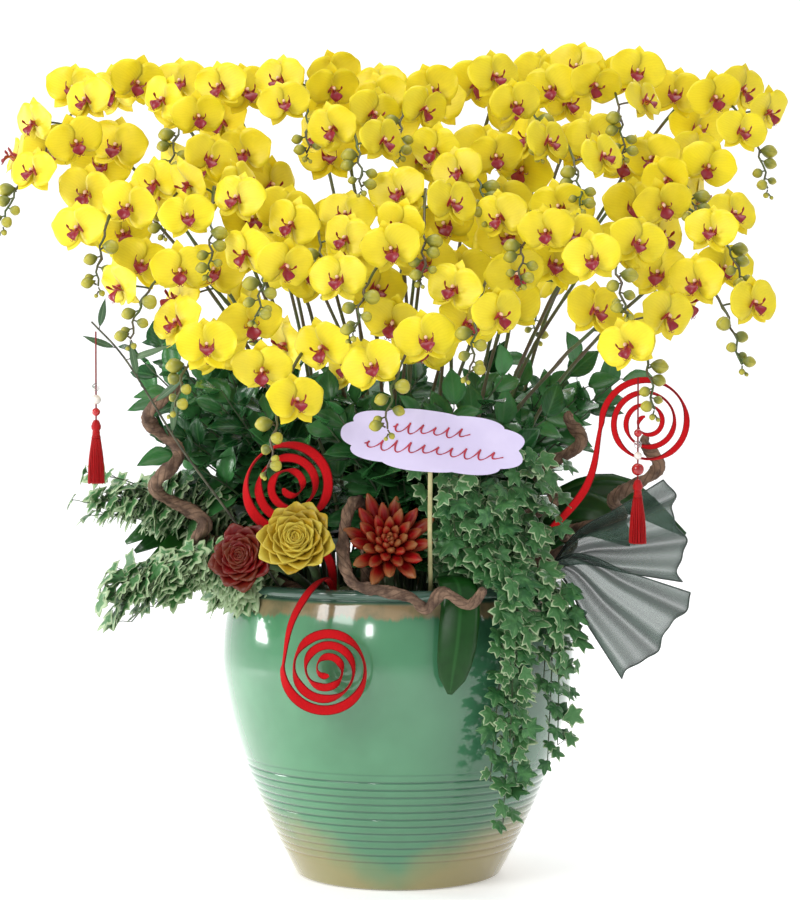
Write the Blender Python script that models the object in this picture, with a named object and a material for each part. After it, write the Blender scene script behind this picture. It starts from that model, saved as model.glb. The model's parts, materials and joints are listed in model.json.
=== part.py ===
"""A potted arrangement: a glazed pot of yellow moth-orchid spikes with ivy, succulents and ornaments.

Metres, +Z up. The origin is the centre of the pot's flat underside, and the display faces -Y.
Run it with: blender --background --python part.py
"""

import math

import bmesh
import bpy
import numpy as np

# ---------------------------------------------------------------- driving dimensions
POT_HEIGHT = 0.385
POT_FOOT_RADIUS = 0.132
POT_BELLY_RADIUS = 0.228
POT_BELLY_HEIGHT = POT_HEIGHT - 0.105
POT_MOUTH_RADIUS = 0.210
POT_WALL = 0.013
POT_FLOOR = 0.018
RIM_DEPTH = 0.014
RIM_OVERHANG = 0.004
SOIL_BELOW_RIM = 0.024

FLOWER_WIDTH = 0.082
DRAWN_FLOWER = 0.082
LOWEST_SPRAY = 0.60
BUD_LENGTH = 0.018
STEM_RADIUS = 0.0030
PEDICEL_RADIUS = 0.0014
PEDICEL_REACH = 0.030 * (FLOWER_WIDTH / DRAWN_FLOWER)
FLOWER_BEFORE_CREST = 0.055
BUD_STRETCH = 0.085
BUDS_PER_SPIKE = 2

CARD_WIDTH = 0.222
CARD_HEIGHT = 0.074
CARD_THICKNESS = 0.0015
STICK_RADIUS = 0.0030
FELT_RADIUS = 0.0040
VINE_RADIUS = 0.0075
CORD_DIAMETER = 0.0020
TASSEL_LENGTH = 0.076
TASSEL_RADIUS = 0.0115
CORD_REACH = 0.062
BEAD_GAP = 0.004

GAP = 0.0003
CLEARANCE = 0.0012 * (FLOWER_WIDTH / DRAWN_FLOWER)
SEED = 7

# Hand-placed points are drawn for a rim this high and a belly this wide; they follow the pot's own sizes.
DRAWN_RIM = 0.385
DRAWN_BELLY = 0.228

SOIL_TOP = POT_HEIGHT - SOIL_BELOW_RIM
STANDING = DRAWN_RIM - SOIL_BELOW_RIM + GAP
UP = np.array([0.0, 0.0, 1.0])
FRONT = np.array([0.0, -1.0, 0.0])

for leftover in list(bpy.data.objects):
    bpy.data.objects.remove(leftover)


# ---------------------------------------------------------------- materials
def material(name, colour, roughness, metallic=0.0):
    made = bpy.data.materials.new(name)
    made.use_nodes = True
    shader = made.node_tree.nodes["Principled BSDF"]
    shader.inputs["Base Color"].default_value = (*colour, 1.0)
    shader.inputs["Roughness"].default_value = roughness
    shader.inputs["Metallic"].default_value = metallic
    return made


GLAZE = material("celadon_glaze", (0.16, 0.36, 0.22), 0.18)
SOIL = material("potting_mix", (0.035, 0.022, 0.014), 0.95)
PETAL = material("yellow_petal", (0.90, 0.72, 0.03), 0.45)
ORCHID_LEAF = material("orchid_leaf", (0.015, 0.10, 0.015), 0.35)
SHRUB_LEAF = material("shrub_leaf", (0.02, 0.13, 0.035), 0.40)
IVY_LEAF = material("ivy_leaf", (0.07, 0.25, 0.06), 0.45)
RED_ROSETTE = material("red_rosette", (0.22, 0.02, 0.015), 0.50)
GOLD_ROSETTE = material("gold_rosette", (0.55, 0.38, 0.05), 0.50)
BRONZE_ROSETTE = material("bronze_rosette", (0.33, 0.05, 0.02), 0.50)
RED_FELT = material("red_felt", (0.60, 0.005, 0.01), 0.90)
BROWN_VINE = material("brown_vine", (0.13, 0.07, 0.045), 0.80)
CARD_STOCK = material("card_stock", (0.72, 0.66, 0.80), 0.60)
BAMBOO = material("bamboo", (0.45, 0.36, 0.17), 0.60)
RED_SILK = material("red_silk", (0.70, 0.01, 0.01), 0.50)
SHEER_RIBBON = material("sheer_ribbon", (0.25, 0.36, 0.30), 0.60)
TWIG_BARK = material("twig_bark", (0.06, 0.06, 0.035), 0.80)


# ---------------------------------------------------------------- shape helpers
def unit(vector):
    return vector / np.linalg.norm(vector)


def level(vector):
    """The horizontal direction of a vector."""
    return unit(np.array([vector[0], vector[1], 0.0]))


def bezier(start, leave, arrive, end, count):
    t = np.linspace(0, 1, count)[:, None]
    s = 1 - t
    return s**3 * start + 3 * s * s * t * leave + 3 * s * t * t * arrive + t**3 * end


def smooth_through(points, count):
    """A Catmull-Rom curve through hand-placed points, sampled evenly."""
    points = np.array(points, float)
    padded = np.vstack([2 * points[0] - points[1], points, 2 * points[-1] - points[-2]])
    fine = []
    for a, b, c, d in zip(padded, padded[1:], padded[2:], padded[3:]):
        fine.append(bezier(b, b + (c - a) / 6, c - (d - b) / 6, c, 13)[:-1])
    fine = np.vstack([*fine, points[-1:]])
    return at_distances(fine, np.linspace(0, length_of(fine), count))


def travelled(path):
    return np.concatenate([[0], np.cumsum(np.linalg.norm(np.diff(path, axis=0), axis=1))])


def length_of(path):
    return travelled(path)[-1]


def at_distances(path, distances):
    along = travelled(path)
    return np.stack([np.interp(distances, along, path[:, k]) for k in range(3)], axis=1)


def circle(radius, sides):
    turn = 2 * math.pi / sides
    return [(radius * math.cos(i * turn), radius * math.sin(i * turn)) for i in range(sides)]


def sweep(path, sections, side):
    """Rings along a path: each section lists (across, above) offsets from its point of the path."""
    rings = []
    for point, tangent, section in zip(path, np.gradient(path, axis=0), sections):
        tangent = unit(tangent)
        side = unit(side - side.dot(tangent) * tangent)
        above = np.cross(tangent, side)
        rings.append([point + side * across + above * rise for across, rise in section])
    return rings


def planted(rings):
    """Sets the first ring flat on the potting mix."""
    first = [np.array([p[0], p[1], STANDING]) for p in rings[0]]
    return [first, *rings[1:]]


def beside(points, top=DRAWN_RIM):
    """Points that hang lower than a height, as a rule the rim's, move out with the pot's belly."""
    out = POT_BELLY_RADIUS / DRAWN_BELLY
    return [(x * out, y * out, z) if z < top else (x, y, z) for x, y, z in points]


def skin(bm, rings):
    """Joins rings, each a loop of points or a single end point, into one closed surface."""
    loops = [[bm.verts.new(point) for point in ring] for ring in rings]
    for a, b in zip(loops, loops[1:]):
        i = j = 0
        while i < len(a) or j < len(b):
            step_a = len(b) == 1 or (len(a) > 1 and (i + 1) * len(b) <= (j + 1) * len(a))
            third = a[(i + 1) % len(a)] if step_a else b[(j + 1) % len(b)]
            bm.faces.new((a[i % len(a)], third, b[j % len(b)]))
            i, j = (i + 1, j) if step_a else (i, j + 1)
            if len(b) == 1 and i == len(a) or len(a) == 1 and j == len(b):
                break
    for loop in (loops[0], loops[-1]):
        if len(loop) > 2:
            bm.faces.new(loop)


def node(name, bm, finish, smooth=True):
    """Turns a closed bmesh into a named object with its material."""
    bmesh.ops.recalc_face_normals(bm, faces=bm.faces)
    bmesh.ops.triangulate(bm, faces=bm.faces)
    if bm.calc_volume(signed=True) < 0:
        bmesh.ops.reverse_faces(bm, faces=bm.faces)
    mesh = bpy.data.meshes.new(name)
    bm.to_mesh(mesh)
    bm.free()
    mesh.materials.append(finish)
    made = bpy.data.objects.new(name, mesh)
    bpy.context.scene.collection.objects.link(made)
    if smooth:
        mesh.shade_smooth()
    return made


def joined(name, core, limbs, finish):
    """One solid: a core with limbs that start inside it. Each limb is its own closed list of rings."""
    whole = node(name, core, finish)
    for number, limb in enumerate(limbs):
        bm = bmesh.new()
        skin(bm, limb)
        part = node(f"{name}_limb_{number}", bm, finish)
        cut = whole.modifiers.new("join", "BOOLEAN")
        cut.operation = "UNION"
        cut.object = part
        graph = bpy.context.evaluated_depsgraph_get()
        merged = bpy.data.meshes.new_from_object(whole.evaluated_get(graph))
        whole.modifiers.clear()
        whole.data = merged
        bpy.data.objects.remove(part)
    bm = bmesh.new()
    bm.from_mesh(whole.data)
    bmesh.ops.dissolve_limit(bm, angle_limit=math.radians(0.5), verts=bm.verts, edges=bm.edges)
    bmesh.ops.triangulate(bm, faces=bm.faces)
    bm.to_mesh(whole.data)
    bm.free()
    return whole


def turned(name, profile, sides, finish, centre=(0, 0), first_angle=0.0):
    """A solid of revolution about +Z, from (radius, height) pairs that start and end on the axis."""
    bm = bmesh.new()
    rings = []
    for radius, height in profile:
        if radius == 0:
            rings.append([(centre[0], centre[1], height)])
            continue
        spots = circle(radius, sides)
        rings.append([(centre[0] + x, centre[1] + y, height) for x, y in spots])
    skin(bm, rings)
    return node(name, bm, finish)


# ---------------------------------------------------------------- pot and potting mix
def pot_radius(height):
    """The outside radius of the pot's wall at a height."""
    if height < POT_BELLY_HEIGHT:
        below = 1 - height / POT_BELLY_HEIGHT
        return POT_BELLY_RADIUS - (POT_BELLY_RADIUS - POT_FOOT_RADIUS) * below**1.6
    above = (height - POT_BELLY_HEIGHT) / (POT_HEIGHT - POT_BELLY_HEIGHT)
    return POT_BELLY_RADIUS - (POT_BELLY_RADIUS - POT_MOUTH_RADIUS) * above**2.2


INNER_HEIGHTS = list(np.linspace(POT_FLOOR, POT_HEIGHT - RIM_DEPTH, 5))


def inner_radius(height):
    """The inside radius at a height, straight between the inner rings so that the mix follows the facets."""
    return np.interp(height, INNER_HEIGHTS, [pot_radius(h) - POT_WALL for h in INNER_HEIGHTS])


def make_pot():
    neck = POT_HEIGHT - RIM_DEPTH
    heights = np.linspace(0, neck, 8)
    outside = [(pot_radius(h), h) for h in heights]
    lip = pot_radius(neck) + RIM_OVERHANG
    rim = [(lip, neck + 0.3 * RIM_DEPTH), (lip, neck + 0.8 * RIM_DEPTH), (lip - 0.004, POT_HEIGHT)]
    rim += [(lip - 0.014, POT_HEIGHT)]
    inside = [(inner_radius(h), h) for h in reversed(INNER_HEIGHTS)]
    turned("pot", [(0, 0), *outside, *rim, *inside, (0, POT_FLOOR)], 28, GLAZE)


def make_potting_mix():
    heights = [POT_FLOOR + GAP, *[h for h in INNER_HEIGHTS[1:] if h < SOIL_TOP - 0.002], SOIL_TOP]
    wall = [(inner_radius(h) - 2 * CLEARANCE, h) for h in heights]
    turned("potting_mix", [(0, POT_FLOOR + GAP), *wall, (0, SOIL_TOP)], 28, SOIL)


# ---------------------------------------------------------------- flower spikes
# Each plant sends up one or two spikes: where the stem crests, where its bud tip hangs, and its open flowers.
PLANTS = [
    # back row, the highest
    [
        ((-0.335, 0.14, 1.038), (-0.460, -0.06, 0.903), 6),
        ((-0.238, 0.15, 1.038), (-0.290, -0.07, 0.908), 6),
    ],
    [
        ((-0.125, 0.15, 1.043), (-0.115, -0.08, 0.928), 6),
        ((0.020, 0.14, 1.028), (0.000, -0.08, 0.928), 6),
    ],
    [((0.140, 0.15, 1.048), (0.180, -0.08, 0.928), 6)],
    [
        ((0.272, 0.15, 1.057), (0.285, -0.08, 0.927), 6),
        ((0.400, 0.14, 1.030), (0.470, -0.06, 0.885), 6),
    ],
    # second row
    [
        ((-0.390, 0.03, 0.952), (-0.490, -0.15, 0.832), 6),
        ((-0.210, 0.05, 0.935), (-0.290, -0.16, 0.825), 6),
    ],
    [
        ((-0.070, 0.05, 0.978), (-0.045, -0.17, 0.878), 6),
        ((0.060, 0.05, 0.940), (0.110, -0.17, 0.840), 6),
    ],
    [
        ((0.205, 0.05, 0.960), (0.225, -0.17, 0.855), 6),
        ((0.335, 0.05, 0.934), (0.370, -0.16, 0.824), 6),
    ],
    # third row
    [
        ((-0.345, -0.04, 0.880), (-0.365, -0.22, 0.755), 5),
        ((-0.235, -0.04, 0.887), (-0.225, -0.25, 0.772), 6),
    ],
    [
        ((-0.110, -0.04, 0.850), (-0.090, -0.26, 0.750), 6),
        ((0.035, -0.04, 0.883), (0.030, -0.27, 0.763), 6),
    ],
    [
        ((0.180, -0.04, 0.865), (0.145, -0.26, 0.760), 6),
        ((0.325, -0.04, 0.870), (0.420, -0.20, 0.755), 6),
    ],
    # fourth row
    [
        ((-0.262, -0.12, 0.785), (-0.318, -0.28, 0.690), 5),
        ((-0.140, -0.12, 0.805), (-0.165, -0.32, 0.715), 5),
    ],
    [
        ((0.000, -0.12, 0.797), (-0.050, -0.33, 0.697), 5),
        ((0.120, -0.12, 0.775), (0.085, -0.33, 0.650), 5),
    ],
    [
        ((0.240, -0.12, 0.818), (0.265, -0.31, 0.723), 5),
        ((0.350, -0.11, 0.780), (0.410, -0.25, 0.660), 5),
    ],
    # front row, the lowest
    [
        ((-0.205, -0.19, 0.715), (-0.260, -0.32, 0.610), 4),
        ((-0.095, -0.19, 0.689), (-0.150, -0.34, 0.539), 5),
    ],
    [
        ((0.055, -0.19, 0.715), (-0.015, -0.35, 0.585), 5),
        ((0.270, -0.18, 0.727), (0.300, -0.31, 0.607), 4),
    ],
    # behind, arching to the back
    [
        ((-0.160, 0.21, 0.850), (-0.200, 0.38, 0.675), 6),
        ((0.165, 0.22, 0.880), (0.200, 0.39, 0.703), 6),
    ],
]
FOOT_SHARE_X, FOOT_SHARE_Y = 0.34, 0.50
CROWN_RADIUS, CROWN_HEIGHT = 0.013, 0.016


def crown_of(plant):
    """Where a plant's crown sits on the potting mix."""
    middle = np.mean([crest for crest, _, _ in plant], axis=0)
    return np.array([middle[0] * FOOT_SHARE_X, middle[1] * FOOT_SHARE_Y, STANDING])


def spike_path(crown, number, crest, tip):
    """The stem's line: up from its side of the crown, over the crest and down to the tip."""
    crest, tip = np.array(crest), np.array(tip)
    ahead = level(tip - crest)
    reach = np.linalg.norm((tip - crest)[:2])
    foot = crown + np.array([0.5 * CROWN_RADIUS * (2 * number - 1), 0, 0.15 * CROWN_HEIGHT])
    shoulder = crest - ahead * 0.07 - UP * 0.012
    rise = bezier(foot, foot + UP * 0.55 * (crest[2] - foot[2]), shoulder, crest, 24)
    arrive = tip + UP * 0.55 * (crest[2] - tip[2]) - ahead * 0.12 * reach
    fall = bezier(crest, crest + ahead * 0.45 * reach, arrive, tip, 24)
    fine, crest_at = np.vstack([rise, fall[1:]]), length_of(rise)
    ahead_of_crest = length_of(fine) - crest_at
    spots = [0, 0.45 * crest_at, 0.75 * crest_at, crest_at - 0.08, crest_at - 0.03, crest_at + 0.02]
    spots += list(crest_at + np.array([0.3, 0.5, 0.7, 0.85, 1.0]) * ahead_of_crest)
    return at_distances(fine, spots), crest_at


def roomier(points):
    """Spreads the ends of the sprays out and up when the flowers are larger than they are drawn for."""
    room = FLOWER_WIDTH / DRAWN_FLOWER
    return [(x * room, y * room, LOWEST_SPRAY + (z - LOWEST_SPRAY) * room) for x, y, z in points]


def all_spikes():
    """Every spike as (plant, path, length up to the crest, flowers)."""
    spikes = []
    for plant_number, plant in enumerate(PLANTS):
        crown = crown_of(plant)
        for number, (crest, tip, flowers) in enumerate(plant):
            path, crest_at = spike_path(crown, number, *roomier([crest, tip]))
            spikes.append((plant_number, path, crest_at, flowers))
    return spikes


def facing(spike_ahead, hand, droop, jitter):
    """The frame of a flower: its right, the way it looks, and its top."""
    outlook = level(spike_ahead + 0.8 * np.sign(spike_ahead[1] or -1) * np.array([0, 1.0, 0]))
    across = np.cross(outlook, UP)
    look = unit(outlook + across * (0.22 * hand + 0.25 * jitter[0]) + UP * (0.12 * jitter[1] - droop))
    right = unit(np.cross(look, UP) + 0.12 * jitter[2] * UP)
    return np.stack([right, look, np.cross(right, look)])


def grow_heads(spikes):
    """Every flower and bud of every spike, before they settle."""
    rng = np.random.default_rng(SEED)
    heads = []
    for number, (_, path, crest_at, flowers) in enumerate(spikes):
        whole = length_of(path)
        ahead = level(path[-1] - at_distances(path, [crest_at])[0])
        across = np.cross(ahead, UP)
        spots = np.linspace(crest_at - FLOWER_BEFORE_CREST, whole - BUD_STRETCH, flowers)
        bud_spots = whole - BUD_STRETCH * np.linspace(0.62, 0.02, BUDS_PER_SPIKE)
        for k, at in enumerate([*spots, *bud_spots]):
            anchor = at_distances(path, [at])[0]
            hand = 1 if (k + number) % 2 else -1
            is_bud = k >= flowers
            shrink = 1 - 0.035 * k if not is_bud else 1.0 - 0.22 * (k - flowers)
            frame = facing(ahead, hand, 0.10, rng.uniform(-1, 1, 3))
            if is_bud:
                home = anchor + across * hand * 0.011 * shrink + ahead * 0.004 + UP * 0.002
                look = unit(home - anchor - UP * 0.004)
                right = unit(np.cross(look, UP))
                frame = np.stack([right, look, np.cross(right, look)])
            else:
                home = anchor + across * hand * PEDICEL_REACH * 0.9 + ahead * 0.022 + UP * 0.002
            heads.append(
                {
                    "spike": number,
                    "bud": is_bud,
                    "anchor": anchor,
                    "home": home,
                    "frame": frame,
                    "size": (BUD_LENGTH if is_bud else FLOWER_WIDTH) * shrink,
                }
            )
    return heads


# The spheres that stand for a flower while it settles: (right, ahead, up, radius) in half widths.
def flower_spheres():
    inner = [(0.48 * x, 0.0, 0.48 * z, 0.18) for x, z in circle(1, 7)]
    outer = [(0.84 * x, 0.05, 0.84 * z, 0.16) for x, z in circle(1, 13)]
    return np.array([(0, 0.05, 0, 0.22), (0, 0.32, -0.22, 0.17), *inner, *outer])


def settle(heads, stems, rounds=120):
    """Moves flowers and buds a little at a time until none touches another one or a stem."""
    spheres = flower_spheres()
    count = len(spheres) + 2
    centre = np.array([h["home"] for h in heads])
    home = centre.copy()
    anchor = np.array([h["anchor"] for h in heads])
    spike = np.array([h["spike"] for h in heads])
    radius = np.zeros((len(heads), count))
    offset = np.zeros((len(heads), count, 3))
    for i, h in enumerate(heads):
        half = h["size"] / 2
        if h["bud"]:
            radius[i, :-2] = 0.75 * half
            offset[i, :-2] = np.linspace(-0.5, 0.5, count - 2)[:, None] * half * h["frame"][1]
        else:
            radius[i, :-2] = spheres[:, 3] * half
            offset[i, :-2] = spheres[:, :3] * half @ h["frame"]
        radius[i, -2:] = PEDICEL_RADIUS * 1.3
    bound = np.linalg.norm(offset, axis=2).max(1) + radius.max(1)
    stem_points = np.vstack([at_distances(p, np.arange(0, length_of(p), 0.007)) for p in stems])
    stem_spike = np.repeat(
        np.arange(len(stems)), [len(np.arange(0, length_of(p), 0.007)) for p in stems]
    )
    lever = np.ones(count)
    lever[-2:] = [1 / 0.4, 1 / 0.7]
    for turn in range(2 * rounds):
        spots = centre[:, None] + offset
        for k, share in ((-2, 0.4), (-1, 0.7)):
            spots[:, k] = anchor + share * (centre - anchor)
        push = np.zeros_like(centre)
        apart = np.linalg.norm(centre[:, None] - centre[None], axis=2)
        i, j = np.nonzero(np.triu(apart < bound[:, None] + bound[None] + CLEARANCE, 1))
        lines = spots[i][:, :, None] - spots[j][:, None]
        far = np.linalg.norm(lines, axis=3)
        room = far - radius[i][:, :, None] - radius[j][:, None] - CLEARANCE
        flat = room.reshape(len(i), -1)
        worst = flat.argmin(1)
        depth = flat[np.arange(len(i)), worst]
        a, b = np.unravel_index(worst, (count, count))
        way = lines[np.arange(len(i)), a, b] / np.maximum(far[np.arange(len(i)), a, b], 1e-6)[:, None]
        move = way * np.maximum(-depth, 0)[:, None] * 0.55
        np.add.at(push, i, move * lever[a][:, None])
        np.add.at(push, j, -move * lever[b][:, None])
        touching = (depth < 0).sum()
        apart = np.linalg.norm(centre[:, None] - stem_points[None], axis=2)
        i, s = np.nonzero(apart < bound[:, None] + STEM_RADIUS + CLEARANCE)
        lines = spots[i] - stem_points[s][:, None]
        far = np.linalg.norm(lines, axis=2)
        room = far - radius[i] - STEM_RADIUS - CLEARANCE
        room[spike[i] == stem_spike[s], -2:] = 1.0
        room[spike[i] == stem_spike[s]] += CLEARANCE
        worst = room.argmin(1)
        rows = np.arange(len(i))
        depth = room[rows, worst]
        outward = centre[i] - stem_points[s]
        outward[worst >= count - 2] = lines[rows, worst][worst >= count - 2]
        outward /= np.linalg.norm(outward, axis=1, keepdims=True)
        np.add.at(push, i, outward * (np.maximum(-depth, 0) * 0.5 * lever[worst])[:, None])
        touching += (depth < 0).sum()
        if touching == 0:
            break
        size = np.linalg.norm(push, axis=1, keepdims=True)
        push *= np.minimum(1, 0.004 / np.maximum(size, 1e-9))
        centre += push
        if turn < rounds // 2:
            centre += (home - centre) * 0.02
    for h, c in zip(heads, centre):
        h["centre"] = c
    return heads


# The outline of an open flower, as (degrees, radius in half widths), from the left round past the lip.
FLOWER_OUTLINE = [(202, 0.62), (238, 0.84), (302, 0.84), (338, 0.62), (18, 0.97), (90, 0.92), (162, 0.97)]


def flower_limb(head):
    """A flower with its stalk, as closed rings: lip, outline of the petals, and the stalk to the stem."""
    half = head["size"] / 2
    frame, centre, anchor = head["frame"], head["centre"], head["anchor"]
    outline = []
    for degrees, r in FLOWER_OUTLINE:
        turn = math.radians(degrees)
        spot = np.array([r * math.cos(turn), 0.06, r * math.sin(turn)]) * half
        outline.append(centre + spot @ frame)
    lip = centre + np.array([0, 0.42, -0.20]) * half @ frame
    back = centre - frame[1] * 0.12 * half
    return [[lip], outline, *stalk(back, anchor, frame)]


def stalk(back, anchor, frame):
    """The three-sided rings of a stalk, from the back of a head to the middle of the stem."""
    way = unit(anchor - back)
    side = unit(np.cross(way, frame[2]))
    path = np.array([back, anchor + 0.3 * STEM_RADIUS * way])
    sections = [circle(1.6 * PEDICEL_RADIUS, 3), circle(PEDICEL_RADIUS, 3)]
    return sweep(path, sections, side)


def bud_limb(head):
    length = head["size"]
    frame, centre, anchor = head["frame"], head["centre"], head["anchor"]
    tip = centre + frame[1] * length / 2
    waist = [centre - (frame[0] * x + frame[2] * z) for x, z in circle(0.38 * length, 3)]
    return [[tip], waist, *stalk(centre - frame[1] * 0.4 * length, anchor, frame)]


def make_plants():
    spikes = all_spikes()
    heads = settle(grow_heads(spikes), [path for _, path, _, _ in spikes])
    for plant_number, plant in enumerate(PLANTS):
        crown = crown_of(plant)
        bm = bmesh.new()
        sections = [circle(CROWN_RADIUS * r, 7) for r in (1.0, 1.1, 0.8)]
        rise = crown + np.outer([0, 0.4 * CROWN_HEIGHT, CROWN_HEIGHT], UP)
        skin(bm, sweep(rise, sections, np.array([1.0, 0.3, 0])))
        limbs = []
        for number, (owner, path, _, _) in enumerate(spikes):
            if owner != plant_number:
                continue
            share = travelled(path) / length_of(path)
            radii = np.interp(share, [0, 0.6, 1], [1.15, 1.0, 0.6]) * STEM_RADIUS
            limbs.append(sweep(path, [circle(r, 3) for r in radii], np.array([1.0, 0.2, 0])))
            limbs += [bud_limb(h) if h["bud"] else flower_limb(h) for h in heads if h["spike"] == number]
        joined(f"orchid_plant_{plant_number + 1:02d}", bm, limbs, PETAL)


# ---------------------------------------------------------------- leaves
def leaf_limb(root, heading, length, width, droop=0.3, thick=0.0012):
    """A leaf as closed rings: it leaves its root along a heading and droops towards its tip."""
    share = np.array([0.0, 0.5, 1.0])[:, None]
    path = root + unit(heading) * length * share - UP * droop * length * share**2
    half = width / 2
    blade = [(half, 0), (0, thick), (-half, 0), (0, -thick)]
    sections = [circle(1.3 * thick, 3), blade, [(0, 0)]]
    return sweep(path, sections, np.cross(heading, UP) + 1e-6)


def sprig(name, points, radius, leaves, finish, rings=6):
    """A stem through hand-placed points. Its leaves are (share of the stem, heading, length, width)."""
    line = smooth_through(points, rings)
    bm = bmesh.new()
    radii = np.linspace(radius, 0.7 * radius, rings)
    skin(bm, planted(sweep(line, [circle(r, 4) for r in radii], np.array([0.9, 0.4, 0.1]))))
    limbs = []
    for share, heading, length, width in leaves:
        root = at_distances(line, [share * length_of(line)])[0]
        limbs.append(leaf_limb(root, np.array(heading, float), length, width))
    return joined(name, bm, limbs, finish)


def fan_of_headings(count, first, last, rise):
    """Headings spread over the plan, from one bearing to another in degrees (0 is +X, -90 the front)."""
    turns = [math.radians(d) for d in np.linspace(first, last, count)]
    return [np.array([math.cos(t), math.sin(t), rise]) for t in turns]


def make_orchid_leaves():
    stumps = {
        "orchid_leaves_left": ((-0.150, -0.005), (150, 200), 0.17),
        "orchid_leaves_right": ((0.150, 0.065), (-12, 38), 0.15),
        "orchid_leaves_back": ((0.000, 0.155), (62, 118), 0.16),
    }
    for name, ((x, y), (first, last), length) in stumps.items():
        base = np.array([x, y, STANDING])
        bm = bmesh.new()
        rise = [base + UP * h for h in (0, 0.012, 0.024)]
        stump = [circle(r, 6) for r in (0.008, 0.009, 0.006)]
        skin(bm, sweep(np.array(rise), stump, np.array([1.0, 0, 0])))
        limbs = []
        for k, heading in enumerate(fan_of_headings(3, first, last, 0.75)):
            limbs.append(leaf_limb(base + UP * 0.014, heading, length * (1 - 0.06 * k), 0.042, 0.35, 0.0018))
        joined(name, bm, limbs, ORCHID_LEAF)
    drop = [(0.052, -0.152, STANDING), (0.060, -0.180, 0.396), (0.068, -0.208, 0.3985)]
    drop += [(0.075, -0.226, 0.380), (0.072, -0.236, 0.330), (0.062, -0.240, 0.268)]
    path = smooth_through([*drop[:2], *beside(drop[2:], 0.402)], 7)
    widths = [0.004, 0.012, 0.017, 0.020, 0.021, 0.017]
    sections = [[(w, 0), (0, 0.002), (-w, 0), (0, -0.002)] for w in widths]
    bm = bmesh.new()
    skin(bm, planted(sweep(path, [*sections, [(0, 0)]], np.array([1.0, 0, 0]))))
    node("orchid_leaf_hanging", bm, ORCHID_LEAF)


def alternate_leaves(count, spread, rise, length, width, bearing):
    """Leaves alternating to the two sides of a stem that heads a given way over the plan."""
    leaves = []
    for k in range(count):
        turn = math.radians(bearing + (spread if k % 2 else -spread))
        share = 0.30 + 0.66 * k / (count - 1)
        heading = (math.cos(turn), math.sin(turn), rise)
        leaves.append((share, heading, length * (1 - 0.3 * share), width))
    return leaves


def make_shrubs():
    stems = {
        "shrub_left": ([(-0.160, 0.060), (-0.235, 0.075, 0.50), (-0.300, 0.060, 0.64)], 175),
        "shrub_left_front": ([(-0.118, -0.045), (-0.190, -0.085, 0.52), (-0.235, -0.110, 0.63)], 190),
        "shrub_centre": ([(0.014, -0.132), (0.010, -0.165, 0.50), (0.004, -0.195, 0.600)], 285),
        "shrub_right": ([(0.110, 0.115), (0.200, 0.140, 0.48), (0.280, 0.140, 0.60)], 20),
        "shrub_back": ([(-0.080, 0.145), (-0.120, 0.220, 0.50), (-0.140, 0.260, 0.60)], 110),
    }
    for name, (points, bearing) in stems.items():
        first = (*points[0], STANDING)
        leaves = alternate_leaves(7, 70, 0.5, 0.062, 0.028, bearing)
        sprig(name, [first, *points[1:]], 0.0022, leaves, SHRUB_LEAF)


def make_ivy():
    over_1 = [(0.078, -0.140), (0.110, -0.178, 0.412), (0.140, -0.206, 0.388)]
    over_2 = [(0.115, -0.125), (0.152, -0.162, 0.402), (0.186, -0.174, 0.380)]
    low_left = [(-0.160, -0.075), (-0.205, -0.110, 0.405), (-0.290, -0.155, 0.400), (-0.350, -0.165, 0.345)]
    high_left = [(-0.172, -0.038), (-0.225, -0.055, 0.440), (-0.300, -0.080, 0.490), (-0.365, -0.105, 0.490)]
    over_back = [(0.050, 0.165), (0.055, 0.205, 0.402), (0.055, 0.235, 0.375), (0.050, 0.240, 0.200)]
    trails = {
        "ivy_trail_right_1": ([*over_1, (0.138, -0.204, 0.300), (0.128, -0.205, 0.100)], 304),
        "ivy_trail_right_2": ([*over_2, (0.190, -0.162, 0.300), (0.185, -0.160, 0.165)], 321),
        "ivy_spray_right_1": ([(0.068, -0.138), (0.078, -0.185, 0.455), (0.072, -0.225, 0.540)], 310),
        "ivy_spray_right_2": ([(0.096, -0.116), (0.140, -0.182, 0.470), (0.165, -0.208, 0.550)], 310),
        "ivy_trail_left_1": (low_left, 215),
        "ivy_trail_left_2": (high_left, 158),
        "ivy_trail_back": (over_back, 90),
    }
    for name, (points, bearing) in trails.items():
        first = (*points[0], STANDING)
        leaves = alternate_leaves(8, 62, 0.25, 0.044, 0.034, bearing)
        sprig(name, [first, *beside(points[1:])], 0.0016, leaves, IVY_LEAF)


# ---------------------------------------------------------------- succulents
def rosette(name, foot, heart, face, radius, points, inner, finish):
    """A rosette as a pointed star with a domed middle, on a short stalk from the potting mix."""
    foot, heart, face = np.array([*foot, STANDING]), np.array(heart), unit(np.array(face, float))
    right = unit(np.cross(face, UP))
    top = np.cross(right, face)
    star = []
    for k in range(2 * points):
        turn = math.pi * k / points
        r = radius if k % 2 == 0 else radius * inner
        star.append(heart + (top * math.sin(turn) - right * math.cos(turn)) * r)
    neck = heart - face * 0.3 * radius
    line = np.array([foot, 0.5 * (foot + neck) + UP * 0.014, neck])
    bm = bmesh.new()
    stem = sweep(line, [circle(0.006, 6), circle(0.005, 6), circle(0.007, 6)], -right)
    skin(bm, [*planted(stem), star, [heart + face * 0.35 * radius]])
    node(name, bm, finish, smooth=False)


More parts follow.
